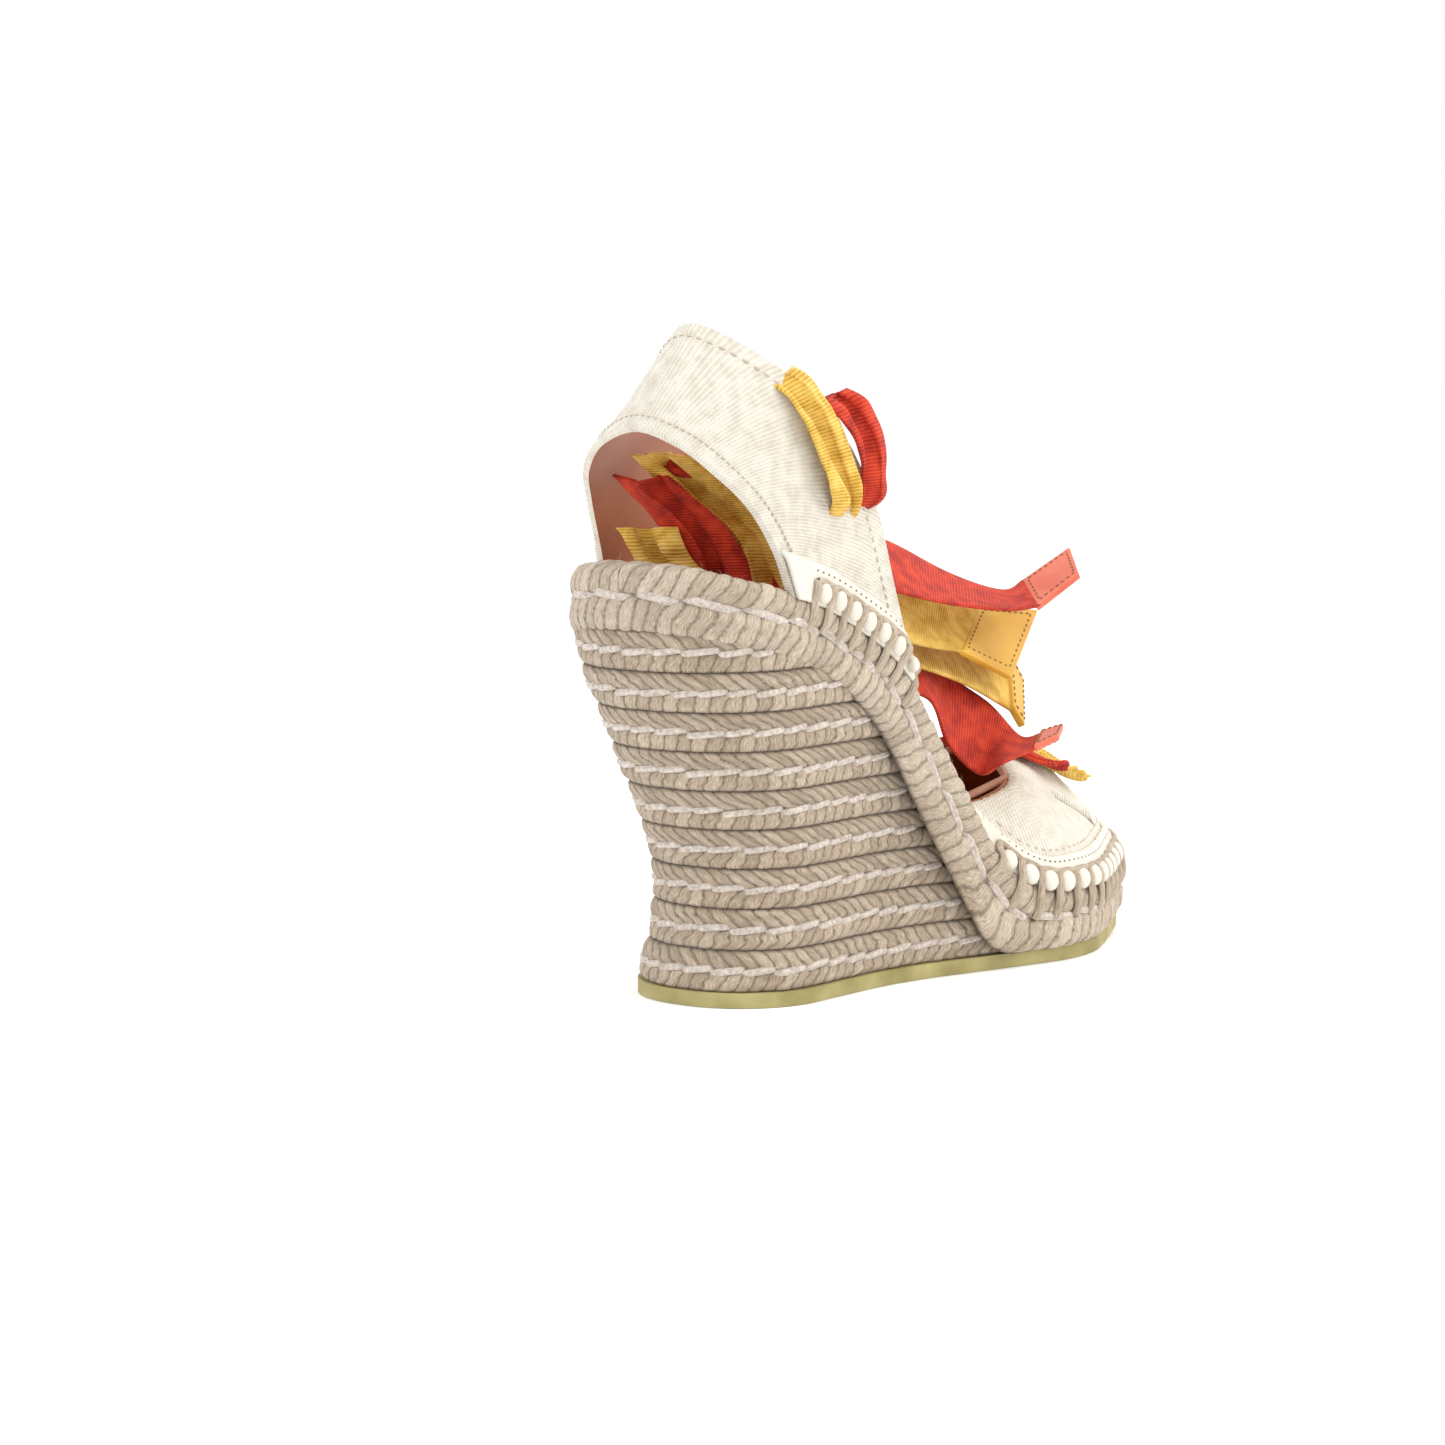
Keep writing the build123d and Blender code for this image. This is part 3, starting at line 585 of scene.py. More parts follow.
def rolled_strand(name, path, sign, lean, seed):
    """One strand of the band: yarns wrapped round a section given as (out, depth) points."""
    path = [Vector(p) for p in path]
    lengths = lengths_along(path)
    pitch = RIM_RUN / round(RIM_RUN / BAND_YARN)

    def spot(u, v):
        along = u * RIM_RUN
        here = walk(path, lengths, v * lengths[-1])
        run = walk(path, lengths, v * lengths[-1] + 0.4) - walk(path, lengths, v * lengths[-1] - 0.4)
        normal = Vector((-run.y, run.x)).normalized() * sign
        across = 2 * v - 1
        ridge, shade, flat = yarn(along, across, lengths[-1] / 2, lean, pitch, seed)
        edge = min(1.0, (1 - abs(across)) * 5)
        stands = edge * ((0.45 + 0.3 * shade) * ridge - 0.25)
        stands += 0.15 * noise.noise(Vector((along * 0.6, v * 7, seed)))
        spread = here + normal * stands
        point, outward = on_band(along_at(along), spread.x, spread.y)
        # Painted light: a highlight on each yarn's crest goes into the tone, and shade in the seam groove, at the
        # lower roll's edge and where yarns dive goes into the groove value.
        groove = max(0.0, 1 - v * lengths[-1] / 0.9)
        if name == "band_lower_roll":
            groove = max(groove, max(0.0, (v - 0.9) * 9))
        groove_shade = min(1.0, max(0.0, 1.0 - ridge * 2.2) * 0.45 + groove)
        return place(*point), flat, 0.45 + 0.2 * shade + 0.2 * ridge, groove_shade

    made = grid_piece(name, round(RIM_RUN / 0.65), round(lengths[-1] / 0.65), spot, band_jute)
    if sign < 0:
        made.data.flip_normals()
    return made


def hair(shape, start, sweep, thick):
    """Adds one loose fibre: a thin three-sided bow from a point along a sweep."""
    bend = Vector([random.uniform(-1, 1) for _ in range(3)]) * sweep.length * 0.3
    made = bmesh.ops.create_grid(shape, x_segments=5, y_segments=3, size=0.5)["verts"]
    side = sweep.cross(Vector((0.3, 0.4, 1))).normalized()
    other = sweep.cross(side).normalized()
    for vert in made:
        u, v = vert.co.x + 0.5, vert.co.y + 0.5
        turn = -2 * math.pi * v
        ring = (side * math.cos(turn) + other * math.sin(turn)) * thick * (1 - 0.8 * u)
        vert.co = start + sweep * u + bend * math.sin(math.pi * u) + ring


band_jute = jute_yarn("spun_jute_band_yarn", "544230", "95826B", "C4B29B", "E8DBC8")
upper_roll = rolled_strand("band_upper_roll", UPPER_ROLL, 1, -0.45, 41)
lower_roll = rolled_strand("band_lower_roll", LOWER_ROLL, -1, 0.3, 57)
shape = empty_stitches()
along = 4.0
while along < RIM_RUN:
    reach = random.uniform(16, 20)
    path = []
    for k in range(9):
        wave = 0.7 * math.sin(math.pi * (k / 8 - 0.5))
        point, out = on_band(along_at(along + reach * k / 8), -0.55, BAND_SEAM + wave)
        path.append(place(*point))
    middle_out = on_band(along_at(along + reach / 2), 0, BAND_SEAM)[1]
    lay_thread(shape, path, middle_out, 3.0 * MM, 1.5 * MM, 0.9 * MM)
    along += reach - 2.4
lacing = piece_from(shape, "band_lacing", thread)
fuzz_shape = bmesh.new()
for k in range(420):
    along = random.uniform(0, RIM_LENGTH)
    on_top = random.random() < 0.6
    point, out = on_band(along, random.uniform(-6, 0.3) if on_top else 0.9, -0.3 if on_top else random.uniform(2, 16))
    grow = Vector((random.uniform(-1, 1), random.uniform(-1, 1), random.uniform(0.2, 1))) if on_top else \
        out + Vector([random.uniform(-0.9, 0.9) for _ in range(3)])
    hair(fuzz_shape, place(*point), grow * random.uniform(1.2, 3.6) * MM, 0.055 * MM)
fuzz = piece_from(fuzz_shape, "loose_jute_fibres", band_jute)
for piece, nodes in ((upper_roll, ["band_upper_strand"]), (lower_roll, ["band_lower_strand"]),
                     (lacing, ["band_thread"]), (fuzz, [])):
    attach(piece, "sole_unit")
    if nodes:
        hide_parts(*nodes)

# ---------------------------------------------------------------- Canvas heel strap
# One band of ribbed cotton canvas, lined with tan leather, runs from the outer foot round the back of the heel to
# the inner foot. Its edges are turned and topstitched, and a worked slot in each leg lets the ribbon through.
ARCH_X = 82.5
STRAP_STATIONS = [((-49.0, 0.6, -14.0), (6.5, 1.4, -44.0)), ((-52.1, 0.8, -6.0), (1.0, 1.2, -25.0)),
                  ((-56.3, 2.0, 5.0), (-5.5, 1.4, -6.5)), ((-63.0, 5.2, 16.0), (-13.5, 2.0, 15.0)),
                  ((-70.5, 10.6, 24.8), (-26.0, 5.4, 36.0)), ((-75.5, 19.8, 32.4), (-42.0, 14.4, 52.2))]
STRAP_BACK = ((-77.5, 36.2), (-53.3, 63.0))
STRAP_PLY = 2.25
SLOT = (55.0, 141.0, 118.0, 14.0, 4.0)  # X, height, tilt in degrees, length, width
CANVAS_RIB = 1.25


def leg_point(x, inset, height, side):
    return Vector((ARCH_X + x, side * (HEEL_HALF_WIDTH - inset), HEEL_RISE + height))


legs = [[(leg_point(*rear, side), leg_point(*front, side)) for rear, front in STRAP_STATIONS] for side in (-1, 1)]
stations = legs[0] + [tuple(Vector((ARCH_X + x, 0, HEEL_RISE + h)) for x, h in STRAP_BACK)] + legs[1][::-1]


def smooth_path(points, place_on):
    """A point of the smooth curve through the points; place_on counts them from 0."""
    k = min(max(int(place_on), 0), len(points) - 2)
    t = place_on - k
    b, c = points[k], points[k + 1]
    a = points[k - 1] if k else b * 2 - c
    d = points[k + 2] if k + 2 < len(points) else c * 2 - b
    return 0.5 * (b * 2 + (c - a) * t + (a * 2 - b * 5 + c * 4 - d) * t * t + (b * 3 - a - c * 3 + d) * t ** 3)


rear_edge = [rear for rear, front in stations]
front_edge = [front for rear, front in stations]
ENDS = len(stations) - 1


def strap_raw(place_on, share):
    return smooth_path(rear_edge, place_on).lerp(smooth_path(front_edge, place_on), share)


@functools.lru_cache(maxsize=None)
def leg_end(share):
    """Where along the outer leg the strap reaches 1.5 mm below the rim."""
    place_on = 0.0
    while place_on < 3:
        point = strap_raw(place_on, share)
        if point.z > rim_height(point.x) - 1.5:
            return place_on
        place_on += 0.02
    return 0.0


def on_strap(along, share, out=0.0):
    """A point and its outward direction: along from 0 to 1 between the feet, share across from the rear edge."""
    start = leg_end(round(share, 3))
    spot = start + (ENDS - 2 * start) * along
    point = strap_raw(spot, share)
    run = strap_raw(spot + 0.05, share) - strap_raw(spot - 0.05, share)
    width = smooth_path(front_edge, spot) - smooth_path(rear_edge, spot)
    normal = width.cross(run).normalized()
    return point + normal * out, normal


def cotton_canvas(name, dark, light, rib, moulded=False):
    """Bleached ribbed cotton canvas: close ribs across the cloth with finer threads between them."""
    made, tree, shader = finish_named(name)
    flat = add(tree, "TexCoord")
    source = flat.outputs["Object" if moulded else "UV"]
    rib_at = add(tree, "Mapping", {"Scale": (1 / (rib * MM), 1 / (0.7 * MM), 1.0)}, {"Vector": source})
    parts = add(tree, "SeparateXYZ", links={"Vector": rib_at.outputs["Vector"]})
    waves = []
    for axis in ("X", "Y"):
        turn = add(tree, "Math", {"operation": "MULTIPLY", 1: 2 * math.pi}, {0: parts.outputs[axis]})
        waves.append(add(tree, "Math", {"operation": "SINE"}, {0: turn.outputs["Value"]}))
    cross = add(tree, "Math", {"operation": "MULTIPLY_ADD", 1: 0.45}, {0: waves[1].outputs["Value"]})
    tree.links.new(waves[0].outputs["Value"], cross.inputs[2])
    where = add(tree, "TexCoord")
    slub = add(tree, "TexNoise", {"Scale": 260.0, "Detail": 3.0}, {"Vector": where.outputs["Object"]})
    # The rib and thread waves paint shade into the colour between ribs and threads, on top of the slub noise's random
    # tone.
    mixed = add(tree, "Math", {"operation": "MULTIPLY_ADD", 1: 0.12}, {0: cross.outputs["Value"],
                                                                       2: slub.outputs["Fac"]})
    tone = add(tree, "ValToRGB", links={"Fac": mixed.outputs["Value"]})
    tone.color_ramp.elements[0].position = 0.3
    tone.color_ramp.elements[0].color = tint(dark)
    tone.color_ramp.elements[1].position = 0.62
    tone.color_ramp.elements[1].color = tint(light)
    tree.links.new(tone.outputs["Color"], shader.inputs["Base Color"])
    bump = add(tree, "Bump", {"Strength": 0.6, "Distance": 0.00025}, {"Height": cross.outputs["Value"]})
    tree.links.new(bump.outputs["Normal"], shader.inputs["Normal"])
    shader.inputs["Roughness"].default_value = 0.85
    shader.inputs["Sheen Weight"].default_value = 0.1
    return made


def in_slot(point):
    """Whether a point of the strap lies in one of the ribbon slots."""
    x, z, tilt, length, width = SLOT
    dx, dz = point.x - x, point.z - z
    run = dx * math.cos(math.radians(tilt)) + dz * math.sin(math.radians(tilt))
    off = -dx * math.sin(math.radians(tilt)) + dz * math.cos(math.radians(tilt))
    run = max(0.0, abs(run) - (length - width) / 2)
    return run * run + off * off < (width / 2) ** 2


def strap_spot(u, v):
    point, out = on_strap(u, 1 - v)
    point += out * 0.35 * noise.noise(point * 0.045)
    return place(*point), (u * 0.195, v * 0.045), 0.5, 0.0


white_canvas = cotton_canvas("bleached_ribbed_canvas", "C9C1B1", "E0DACD", CANVAS_RIB)
strap = grid_piece("heel_strap", 320, 52, strap_spot, white_canvas)
strap.data.materials.append(tan_leather)
open_cloth = bmesh.new()
open_cloth.from_mesh(strap.data)
holes = [f for f in open_cloth.faces
         if in_slot(f.calc_center_median() * 1000 + Vector((ORIGIN_X, 0, 0))) and abs(f.calc_center_median().y) > 0.01]
bmesh.ops.delete(open_cloth, geom=holes, context="FACES")
open_cloth.to_mesh(strap.data)
open_cloth.free()
thick = strap.modifiers.new("canvas_and_lining", "SOLIDIFY")
thick.thickness = STRAP_PLY * MM
thick.offset = -1
thick.material_offset = 1
thick.material_offset_rim = 0
rolled = strap.modifiers.new("turned_edge", "BEVEL")
rolled.width = 0.7 * MM
rolled.segments = 3
rolled.limit_method = "ANGLE"
rolled.angle_limit = math.radians(50)
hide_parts("heel_strap_canvas", "heel_strap_lining", "outer_foot_canvas", "inner_foot_canvas",
            "outer_foot_lining", "inner_foot_lining")
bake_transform(strap, "sole_unit", "heel_strap", start=(-0.030, 0, 0.108), end=(-0.046, 0, 0.142))


def sweep(shape, path, wide, proud, outward, turns=8):
    """Adds a cord: an oval tube along a path, its flat side on the surface whose outward direction is given."""
    lengths = lengths_along(path)
    rings = max(3, len(path) * 2)
    made = bmesh.ops.create_grid(shape, x_segments=rings, y_segments=turns, size=0.5)["verts"]
    tone = shape.verts.layers.float.get("tone")
    mark = random.uniform(0.4, 0.75)
    shift = random.uniform(0, 1)
    sheet = shape.loops.layers.uv.get("UVMap")
    flat = {}
    for vert in made:
        u, v = vert.co.x + 0.5, vert.co.y + 0.5
        here = walk(path, lengths, u * lengths[-1])
        run = walk(path, lengths, (u + 0.04) * lengths[-1]) - walk(path, lengths, (u - 0.04) * lengths[-1])
        side = outward.cross(run).normalized()
        up = run.cross(side).normalized()
        if up.dot(outward) < 0:
            up = -up
        turn = -2 * math.pi * v
        vert.co = here + side * (math.cos(turn) * wide / 2) + up * (math.sin(turn) * proud)
        if tone:
            vert[tone] = mark
        flat[vert] = (v * math.pi * wide + shift, u * lengths[-1] + shift)
    if sheet:
        for vert in made:
            for loop in vert.link_loops:
                loop[sheet].uv = flat[vert]
    for face in {f for vert in made for f in vert.link_faces}:
        face.smooth = True


def empty_cords():
    shape = empty_stitches()
    shape.verts.layers.float.new("groove_shade")
    shape.loops.layers.uv.new("UVMap")
    return shape


sewing = smooth_leather("ivory_sewing_thread", "B9AE9B", "D2C8B6", 0.6)
shape = empty_stitches()
for share in (0.115, 0.885):
    for k in range(78):
        ends = [0.012 + (k + part) * 0.0125 for part in (0.0, 0.35, 0.72)]
        path = [place(*on_strap(along, share, 0.12)[0]) for along in ends]
        lay_thread(shape, path, on_strap(ends[1], share)[1], 0.55 * MM, 0.3 * MM, 0.4 * MM)
for side in (-1, 1):
    x, z, tilt, length, width = SLOT
    best = min(((on_strap(a / 400, w / 40)[0], a / 400, w / 40) for a in range(400) for w in range(41)),
               key=lambda item: (item[0].x - x) ** 2 + (item[0].z - z) ** 2 + (item[0].y * side < 0) * 1e6)
    centre, out = on_strap(best[1], best[2])
    along_slot = Vector((math.cos(math.radians(tilt)), 0, math.sin(math.radians(tilt))))
    along_slot = (along_slot - out * along_slot.dot(out)).normalized()
    off_slot = out.cross(along_slot)
    ring = []
    for k in range(29):
        turn = 2 * math.pi * k / 28
        reach = (length - width) / 2 * (1 if math.cos(turn) > 0 else -1)
        ring.append(place(*(centre + along_slot * (reach + 2.5 * math.cos(turn)) + off_slot * 2.5 * math.sin(turn)
                            + out * 0.3)))
    for a, b in zip(ring, ring[1:]):
        lay_thread(shape, [a, a.lerp(b, 0.5), b], out, 1.6 * MM, 0.5 * MM, 0.1 * MM)
topstitch = piece_from(shape, "strap_topstitch", sewing)
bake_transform(topstitch, "sole_unit", "heel_strap", start=(-0.030, 0, 0.108), end=(-0.046, 0, 0.142))

# ---------------------------------------------------------------- Strap feet: rand, puffs and blanket stitches
# A white leather strip covers each foot of the strap. Jute twine is blanket-stitched over it into the band, and the
# soft leather bulges out between the stitches.
RAND_HEIGHT = 9.0
BLANKET_PITCH = 7.6
white_leather = smooth_leather("white_sheep_leather", "D8D0C2", "E4DDD1", 0.5)
punched = smooth_leather("punched_hole_shadow", "5A4A3A", "7A6A58", 0.9)


def foot_spot(side):
    """A strip on the strap from just inside the band to its stitched edge."""
    def spot(u, v):
        share = 0.02 + 0.96 * u
        low = leg_end(round(share, 3))
        high = low
        while high < 4:
            point = strap_raw(high, share)
            if point.z > rim_height(point.x) + RAND_HEIGHT + 1.5:
                break
            high += 0.02
        place_on = low + (high - low) * v
        point = strap_raw(place_on, share)
        run = strap_raw(place_on + 0.05, share) - strap_raw(place_on - 0.05, share)
        width = smooth_path(front_edge, place_on) - smooth_path(rear_edge, place_on)
        out = width.cross(run).normalized()
        point += out * (0.15 + 1.1 * min(1.0, 8 * (1 - v)))
        return place(point.x, side * point.y, point.z), (u * 0.055, v * 0.011), 0.5, 0.0
    return spot


def tree_of(*objects):
    """A search tree over the surfaces of several objects."""
    verts, faces = [], []
    for item in objects:
        shift = len(verts)
        verts += [item.matrix_world @ v.co for v in item.data.vertices]
        faces += [[shift + k for k in polygon.vertices] for polygon in item.data.polygons]
    return BVHTree.FromPolygons(verts, faces)


def snug(tree, along, depth, proud=0.0):
    """The point where a line drawn inwards above the rim meets the leather."""
    start, out = on_band(along, 9.0, depth)
    hit = tree.ray_cast(place(*start), -out, 0.03)
    return (hit[0] + out * proud * MM if hit[0] else place(*on_band(along, -1.5, depth)[0])), out


def blanket(name, tree, spans):
    """Blanket stitches, leather puffs and pricked holes over stretches of the rim, as three pieces."""
    twine, puffs, pricks = empty_cords(), bmesh.new(), bmesh.new()
    for first, last in spans:
        starts, ends = bisect.bisect_left(rim_lengths, first), bisect.bisect_left(rim_lengths, last)
        count = max(1, round((rim_run[ends] - rim_run[starts]) / BLANKET_PITCH))
        pitch = (last - first) / count
        crest = []
        for k in range(count + 1):
            along = first + pitch * k
            wobble = random.uniform(-0.5, 0.5)
            out = on_band(along, 0, 0)[1]
            path = [place(*on_band(along + wobble, 0.3, 7.9)[0]), place(*on_band(along + wobble, 1.3, 5.5)[0]),
                    place(*on_band(along, 1.4, 2.8)[0]), place(*on_band(along, 1.1, 0.6)[0]),
                    snug(tree, along, -2.4, 0.9)[0], snug(tree, along, -4.8, 0.4)[0]]
            sweep(twine, path, random.uniform(2.3, 2.9) * MM, 1.0 * MM, out)
            crest.append(path[-1])
            if k < count:
                middle = along + pitch / 2
                spot, out = snug(tree, middle, -2.2, 0.1)
                ahead = snug(tree, middle + 1, -2.2)[0] - snug(tree, middle - 1, -2.2)[0]
                up = (snug(tree, middle, -4)[0] - snug(tree, middle, -1)[0]).normalized()
                ahead.normalize()
                out = ahead.cross(up).normalized() * (1 if ahead.cross(up).dot(out) > 0 else -1)
                turn = Matrix((ahead, out, up)).transposed().to_4x4()
                grow = Matrix.Diagonal((pitch * 0.42 * MM, 1.9 * MM, 3.1 * MM, 1))
                bmesh.ops.create_uvsphere(puffs, u_segments=14, v_segments=9, radius=1.0,
                                          matrix=Matrix.Translation(spot) @ turn @ grow)
                # Each pricked hole is a flat dark disc on the leather: painted shade in the hole.
                for part in (0.0, 0.34, 0.67):
                    middle = along + pitch * part
                    spot, out = snug(tree, middle, -7.6, 0.06)
                    up = (snug(tree, middle, -8.4)[0] - snug(tree, middle, -6.8)[0]).normalized()
                    ahead = up.cross(out).normalized()
                    face_out = ahead.cross(up).normalized()
                    turn = Matrix((ahead, up, face_out)).transposed().to_4x4()
                    bmesh.ops.create_circle(pricks, cap_ends=True, segments=8, radius=1.0,
                                            matrix=Matrix.Translation(spot) @ turn
                                            @ Matrix.Diagonal((0.45 * MM, 0.3 * MM, 1, 1)))
                purl = []
                for j in range(5):
                    lift, out = snug(tree, along + pitch * j / 4, -4.8 - 0.5 * math.sin(math.pi * j / 4), 0.5)
                    purl.append(lift)
                sweep(twine, purl, 1.7 * MM, 0.75 * MM, out)
    for face in puffs.faces:
        face.smooth = True
    made = [piece_from(twine, name + "_blanket_twine", band_jute), piece_from(puffs, name + "_puffs", white_leather),
            piece_from(pricks, name + "_pricks", punched)]
    for item in made:
        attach(item, "sole_unit")
    return made


def rim_span(x0, x1):
    """Distances round the rim, on the outer side, of two points along it."""
    near = [min(range(len(rim) // 2), key=lambda k: abs(rim[k].x - x) + (k < 20) * 50) for x in (x0, x1)]
    return [rim_lengths[k] for k in near]


outer_span = rim_span(39, 86)
for side, name in ((1, "outer"), (-1, "inner")):
    strip = grid_piece(name + "_foot_strip", 60, 12, foot_spot(side), white_leather)
    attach(strip, "sole_unit")
    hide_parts(name + "_foot_rand")
    if side < 0:
        strip.data.flip_normals()
    span = outer_span if side > 0 else [RIM_LENGTH - d for d in reversed(outer_span)]
    blanket(name + "_foot", tree_of(strip), [span])
    hem = strip.modifiers.new("leather", "SOLIDIFY")
    hem.thickness = 0.9 * MM
    hem.offset = -1

# ---------------------------------------------------------------- Canvas vamp
# The toe is covered by one moulded piece of the same canvas, lined with tan leather, with a rolled leather edge at
# its throat. A strip of white leather runs round its foot, blanket-stitched into the band like the strap's feet.


def softened(node, name, material, voxel):
    """A moulded cloth or leather copy of a CAD piece: an even, smoothed surface and soft edges."""
    shape = bmesh.new()
    shape.from_mesh(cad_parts[node].data)
    bmesh.ops.remove_doubles(shape, verts=shape.verts, dist=1e-5)
    made = piece_from(shape, name, material)
    for polygon in made.data.polygons:
        polygon.material_index = 0
    even_out = made.modifiers.new("even_cloth", "REMESH")
    even_out.mode = "VOXEL"
    even_out.voxel_size = voxel * MM
    even_out.use_smooth_shade = True
    relax = made.modifiers.new("relaxed", "SMOOTH")
    relax.factor = 0.6
    relax.iterations = 5
    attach(made, "sole_unit")
    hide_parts(node)
    return made


moulded_canvas = cotton_canvas("moulded_bleached_canvas", "CFC8B9", "E0DACE", CANVAS_RIB, moulded=True)
canvas_tree = tree_of(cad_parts["vamp_canvas"])
rand_tree = tree_of(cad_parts["vamp_canvas"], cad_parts["toe_rand"])
vamp = softened("vamp_canvas", "canvas_vamp", moulded_canvas, 0.6)
vamp_lining = softened("vamp_lining", "vamp_leather_lining", tan_leather, 0.5)
toe_strip = softened("toe_rand", "toe_leather_strip", white_leather, 0.5)

throat = []
for k in range(61):
    y = -37.0 * math.cos(math.pi * k / 60)
    for x in [95 + 0.4 * j for j in range(220)]:
        hit = canvas_tree.ray_cast(place(x, y, 200), Vector((0, 0, -1)), 0.2)
        if hit[0]:
            throat.append(hit[0] + Vector((-0.0001, 0, -0.0004)))
            break
binding = smooth_leather("rolled_edge_leather", "A87058", "C99A84", 0.5)
shape = empty_cords()
sweep(shape, throat, 1.6 * MM, 1.2 * MM, Vector((-0.5, 0, 1)).normalized(), turns=10)
throat_roll = piece_from(shape, "throat_roll", binding)
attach(throat_roll, "sole_unit")
shape = empty_stitches()
seam = []
for k in range(17, len(rim) - 1):
    along = rim_lengths[k]
    if rim[k].x > 119:
        spot, out = snug(canvas_tree, along, -RAND_HEIGHT - 1.6, 0.1)
        seam.append((spot, out))
for k in range(0, len(seam) - 5, 5):
    path = [seam[k][0], seam[k + 2][0], seam[k + 3][0]]
    lay_thread(shape, path, seam[k + 2][1], 0.5 * MM, 0.3 * MM, 0.4 * MM)
vamp_seam = piece_from(shape, "vamp_seam_stitches", sewing)
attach(vamp_seam, "sole_unit")
toe_span = rim_span(121, 121)[0]
blanket("toe", rand_tree, [[toe_span, RIM_LENGTH - toe_span]])

# ---------------------------------------------------------------- Ribbon ties
# Two double-faced cotton ribbons, 25 mm wide, red on one face and yellow on the other. They loop through the slots of
# the vamp and the strap, lie crumpled inside the heel and end in stitched leather tips.
FOREPART = Vector((ARCH_X, 0, FOREPART_RISE))
TAILS = {
    "tail_upper_red": [((-2, -10, 106), (-12, -24, 92)), ((19, -12, 100), (3, -27, 88)),
                       ((44, -14, 91), (23, -30, 84)), ((64, -20, 85), (46, -34, 81)),
                       ((73, -22, 87), (60, -36, 81)), ((93, -24, 95), (77, -38, 89))],
    "tail_upper_yellow": [((2, -10, 95), (-6, -24, 80)), ((22, -12, 92), (12, -24, 74)),
                          ((45, -13, 84), (24, -25, 71)), ((62, -14, 79), (36, -26, 69)),
                          ((86, -17, 77), (58, -27, 60))],
    "tail_lower_yellow": [((6, -8, 83), (2, -22, 69)), ((31, -8, 80), (21, -20, 66)),
                          ((57, -10, 71), (43, -22, 59)), ((78, -13, 64), (64, -24, 50)),
                          ((84, -13, 57), (67.5, -25, 45))],
    "tail_lower_red": [((14, -8, 75), (10, -20, 60)), ((33, -10, 72), (26, -22, 56)),
                       ((45, -14, 61), (32, -24, 43)), ((58, -20, 52), (42, -28, 34)),
                       ((62, -28, 43.5), (42, -36, 38)), ((71, -30, 43.5), (56, -38, 41)),
                       ((80, -31, 44.5), (67, -38, 43))],
}
BUNDLE = {
    "bundle_red_arc": [(-48, 8, 125), (-36, 0, 121), (-28, -8, 111), (-26, -15, 99), (-25, -17, 87)],
    "bundle_yellow_arc": [(-52, 11, 127), (-46, 5, 119), (-40, 0, 111), (-36, -7, 101), (-34, -9, 90)],
    "bundle_red_knot": [(-59, 13, 120), (-52, 9, 114), (-47, 4, 107), (-44, -1, 98), (-42, -4, 90)],
    "bundle_yellow_fold": [(-57, 12, 107), (-56, 9, 101), (-53, 6, 95), (-49, 3, 92)],
}
STRAP_LOOPS = {"loop_yellow": [(2.8, 0.70), (3.3, 0.74), (3.8, 0.80), (4.3, 0.88), (4.8, 0.97)],
               "loop_red": [(2.9, 0.90), (3.3, 1.03), (3.8, 1.10), (4.3, 1.12)]}
VAMP_RIBBON = [((26.0, -20.0), (46.0, -22.0)), ((31.0, -16.0), (53.0, -17.0)), ((38.0, -9.0), (58.0, -9.0)),
               ((40.0, 0.0), (60.0, 0.0))]
RIBBON_WIDTH = 0.025


def grosgrain(name, dark, middle, light):
    """Cotton grosgrain: fine ribs straight across the ribbon, with painted shade between them."""
    made, tree, shader = finish_named(name)
    flat = add(tree, "TexCoord")
    parts = add(tree, "SeparateXYZ", links={"Vector": flat.outputs["UV"]})
    turn = add(tree, "Math", {"operation": "MULTIPLY", 1: 2 * math.pi / (0.95 * MM)}, {0: parts.outputs["X"]})
    rib = add(tree, "Math", {"operation": "SINE"}, {0: turn.outputs["Value"]})
    wear = add(tree, "TexNoise", {"Scale": 220.0, "Detail": 4.0}, {"Vector": flat.outputs["Object"]})
    mixed = add(tree, "Math", {"operation": "MULTIPLY_ADD", 1: 0.13}, {0: rib.outputs["Value"],
                                                                       2: wear.outputs["Fac"]})
    tone = add(tree, "ValToRGB", links={"Fac": mixed.outputs["Value"]})
    tone.color_ramp.elements[0].position = 0.3
    tone.color_ramp.elements[0].color = tint(dark)
    tone.color_ramp.elements[1].position = 0.74
    tone.color_ramp.elements[1].color = tint(light)
    tone.color_ramp.elements.new(0.5).color = tint(middle)
    tree.links.new(tone.outputs["Color"], shader.inputs["Base Color"])
    bump = add(tree, "Bump", {"Strength": 0.5, "Distance": 0.0002}, {"Height": rib.outputs["Value"]})
    tree.links.new(bump.outputs["Normal"], shader.inputs["Normal"])
    shader.inputs["Roughness"].default_value = 0.85
    shader.inputs["Sheen Weight"].default_value = 0.04
    return made


red_ribbon = grosgrain("red_cotton_grosgrain", "8E1503", "BC2807", "CE4119")
yellow_ribbon = grosgrain("yellow_cotton_grosgrain", "B98B2C", "DDB24A", "EBCA70")
red_tip = smooth_leather("red_tip_leather", "BF4A2C", "D96E50", 0.4)
yellow_tip = smooth_leather("mustard_tip_leather", "C6921F", "DDB03C", 0.4)
dark_sewing = smooth_leather("dark_sewing_thread", "6E4A16", "8A6426", 0.6)


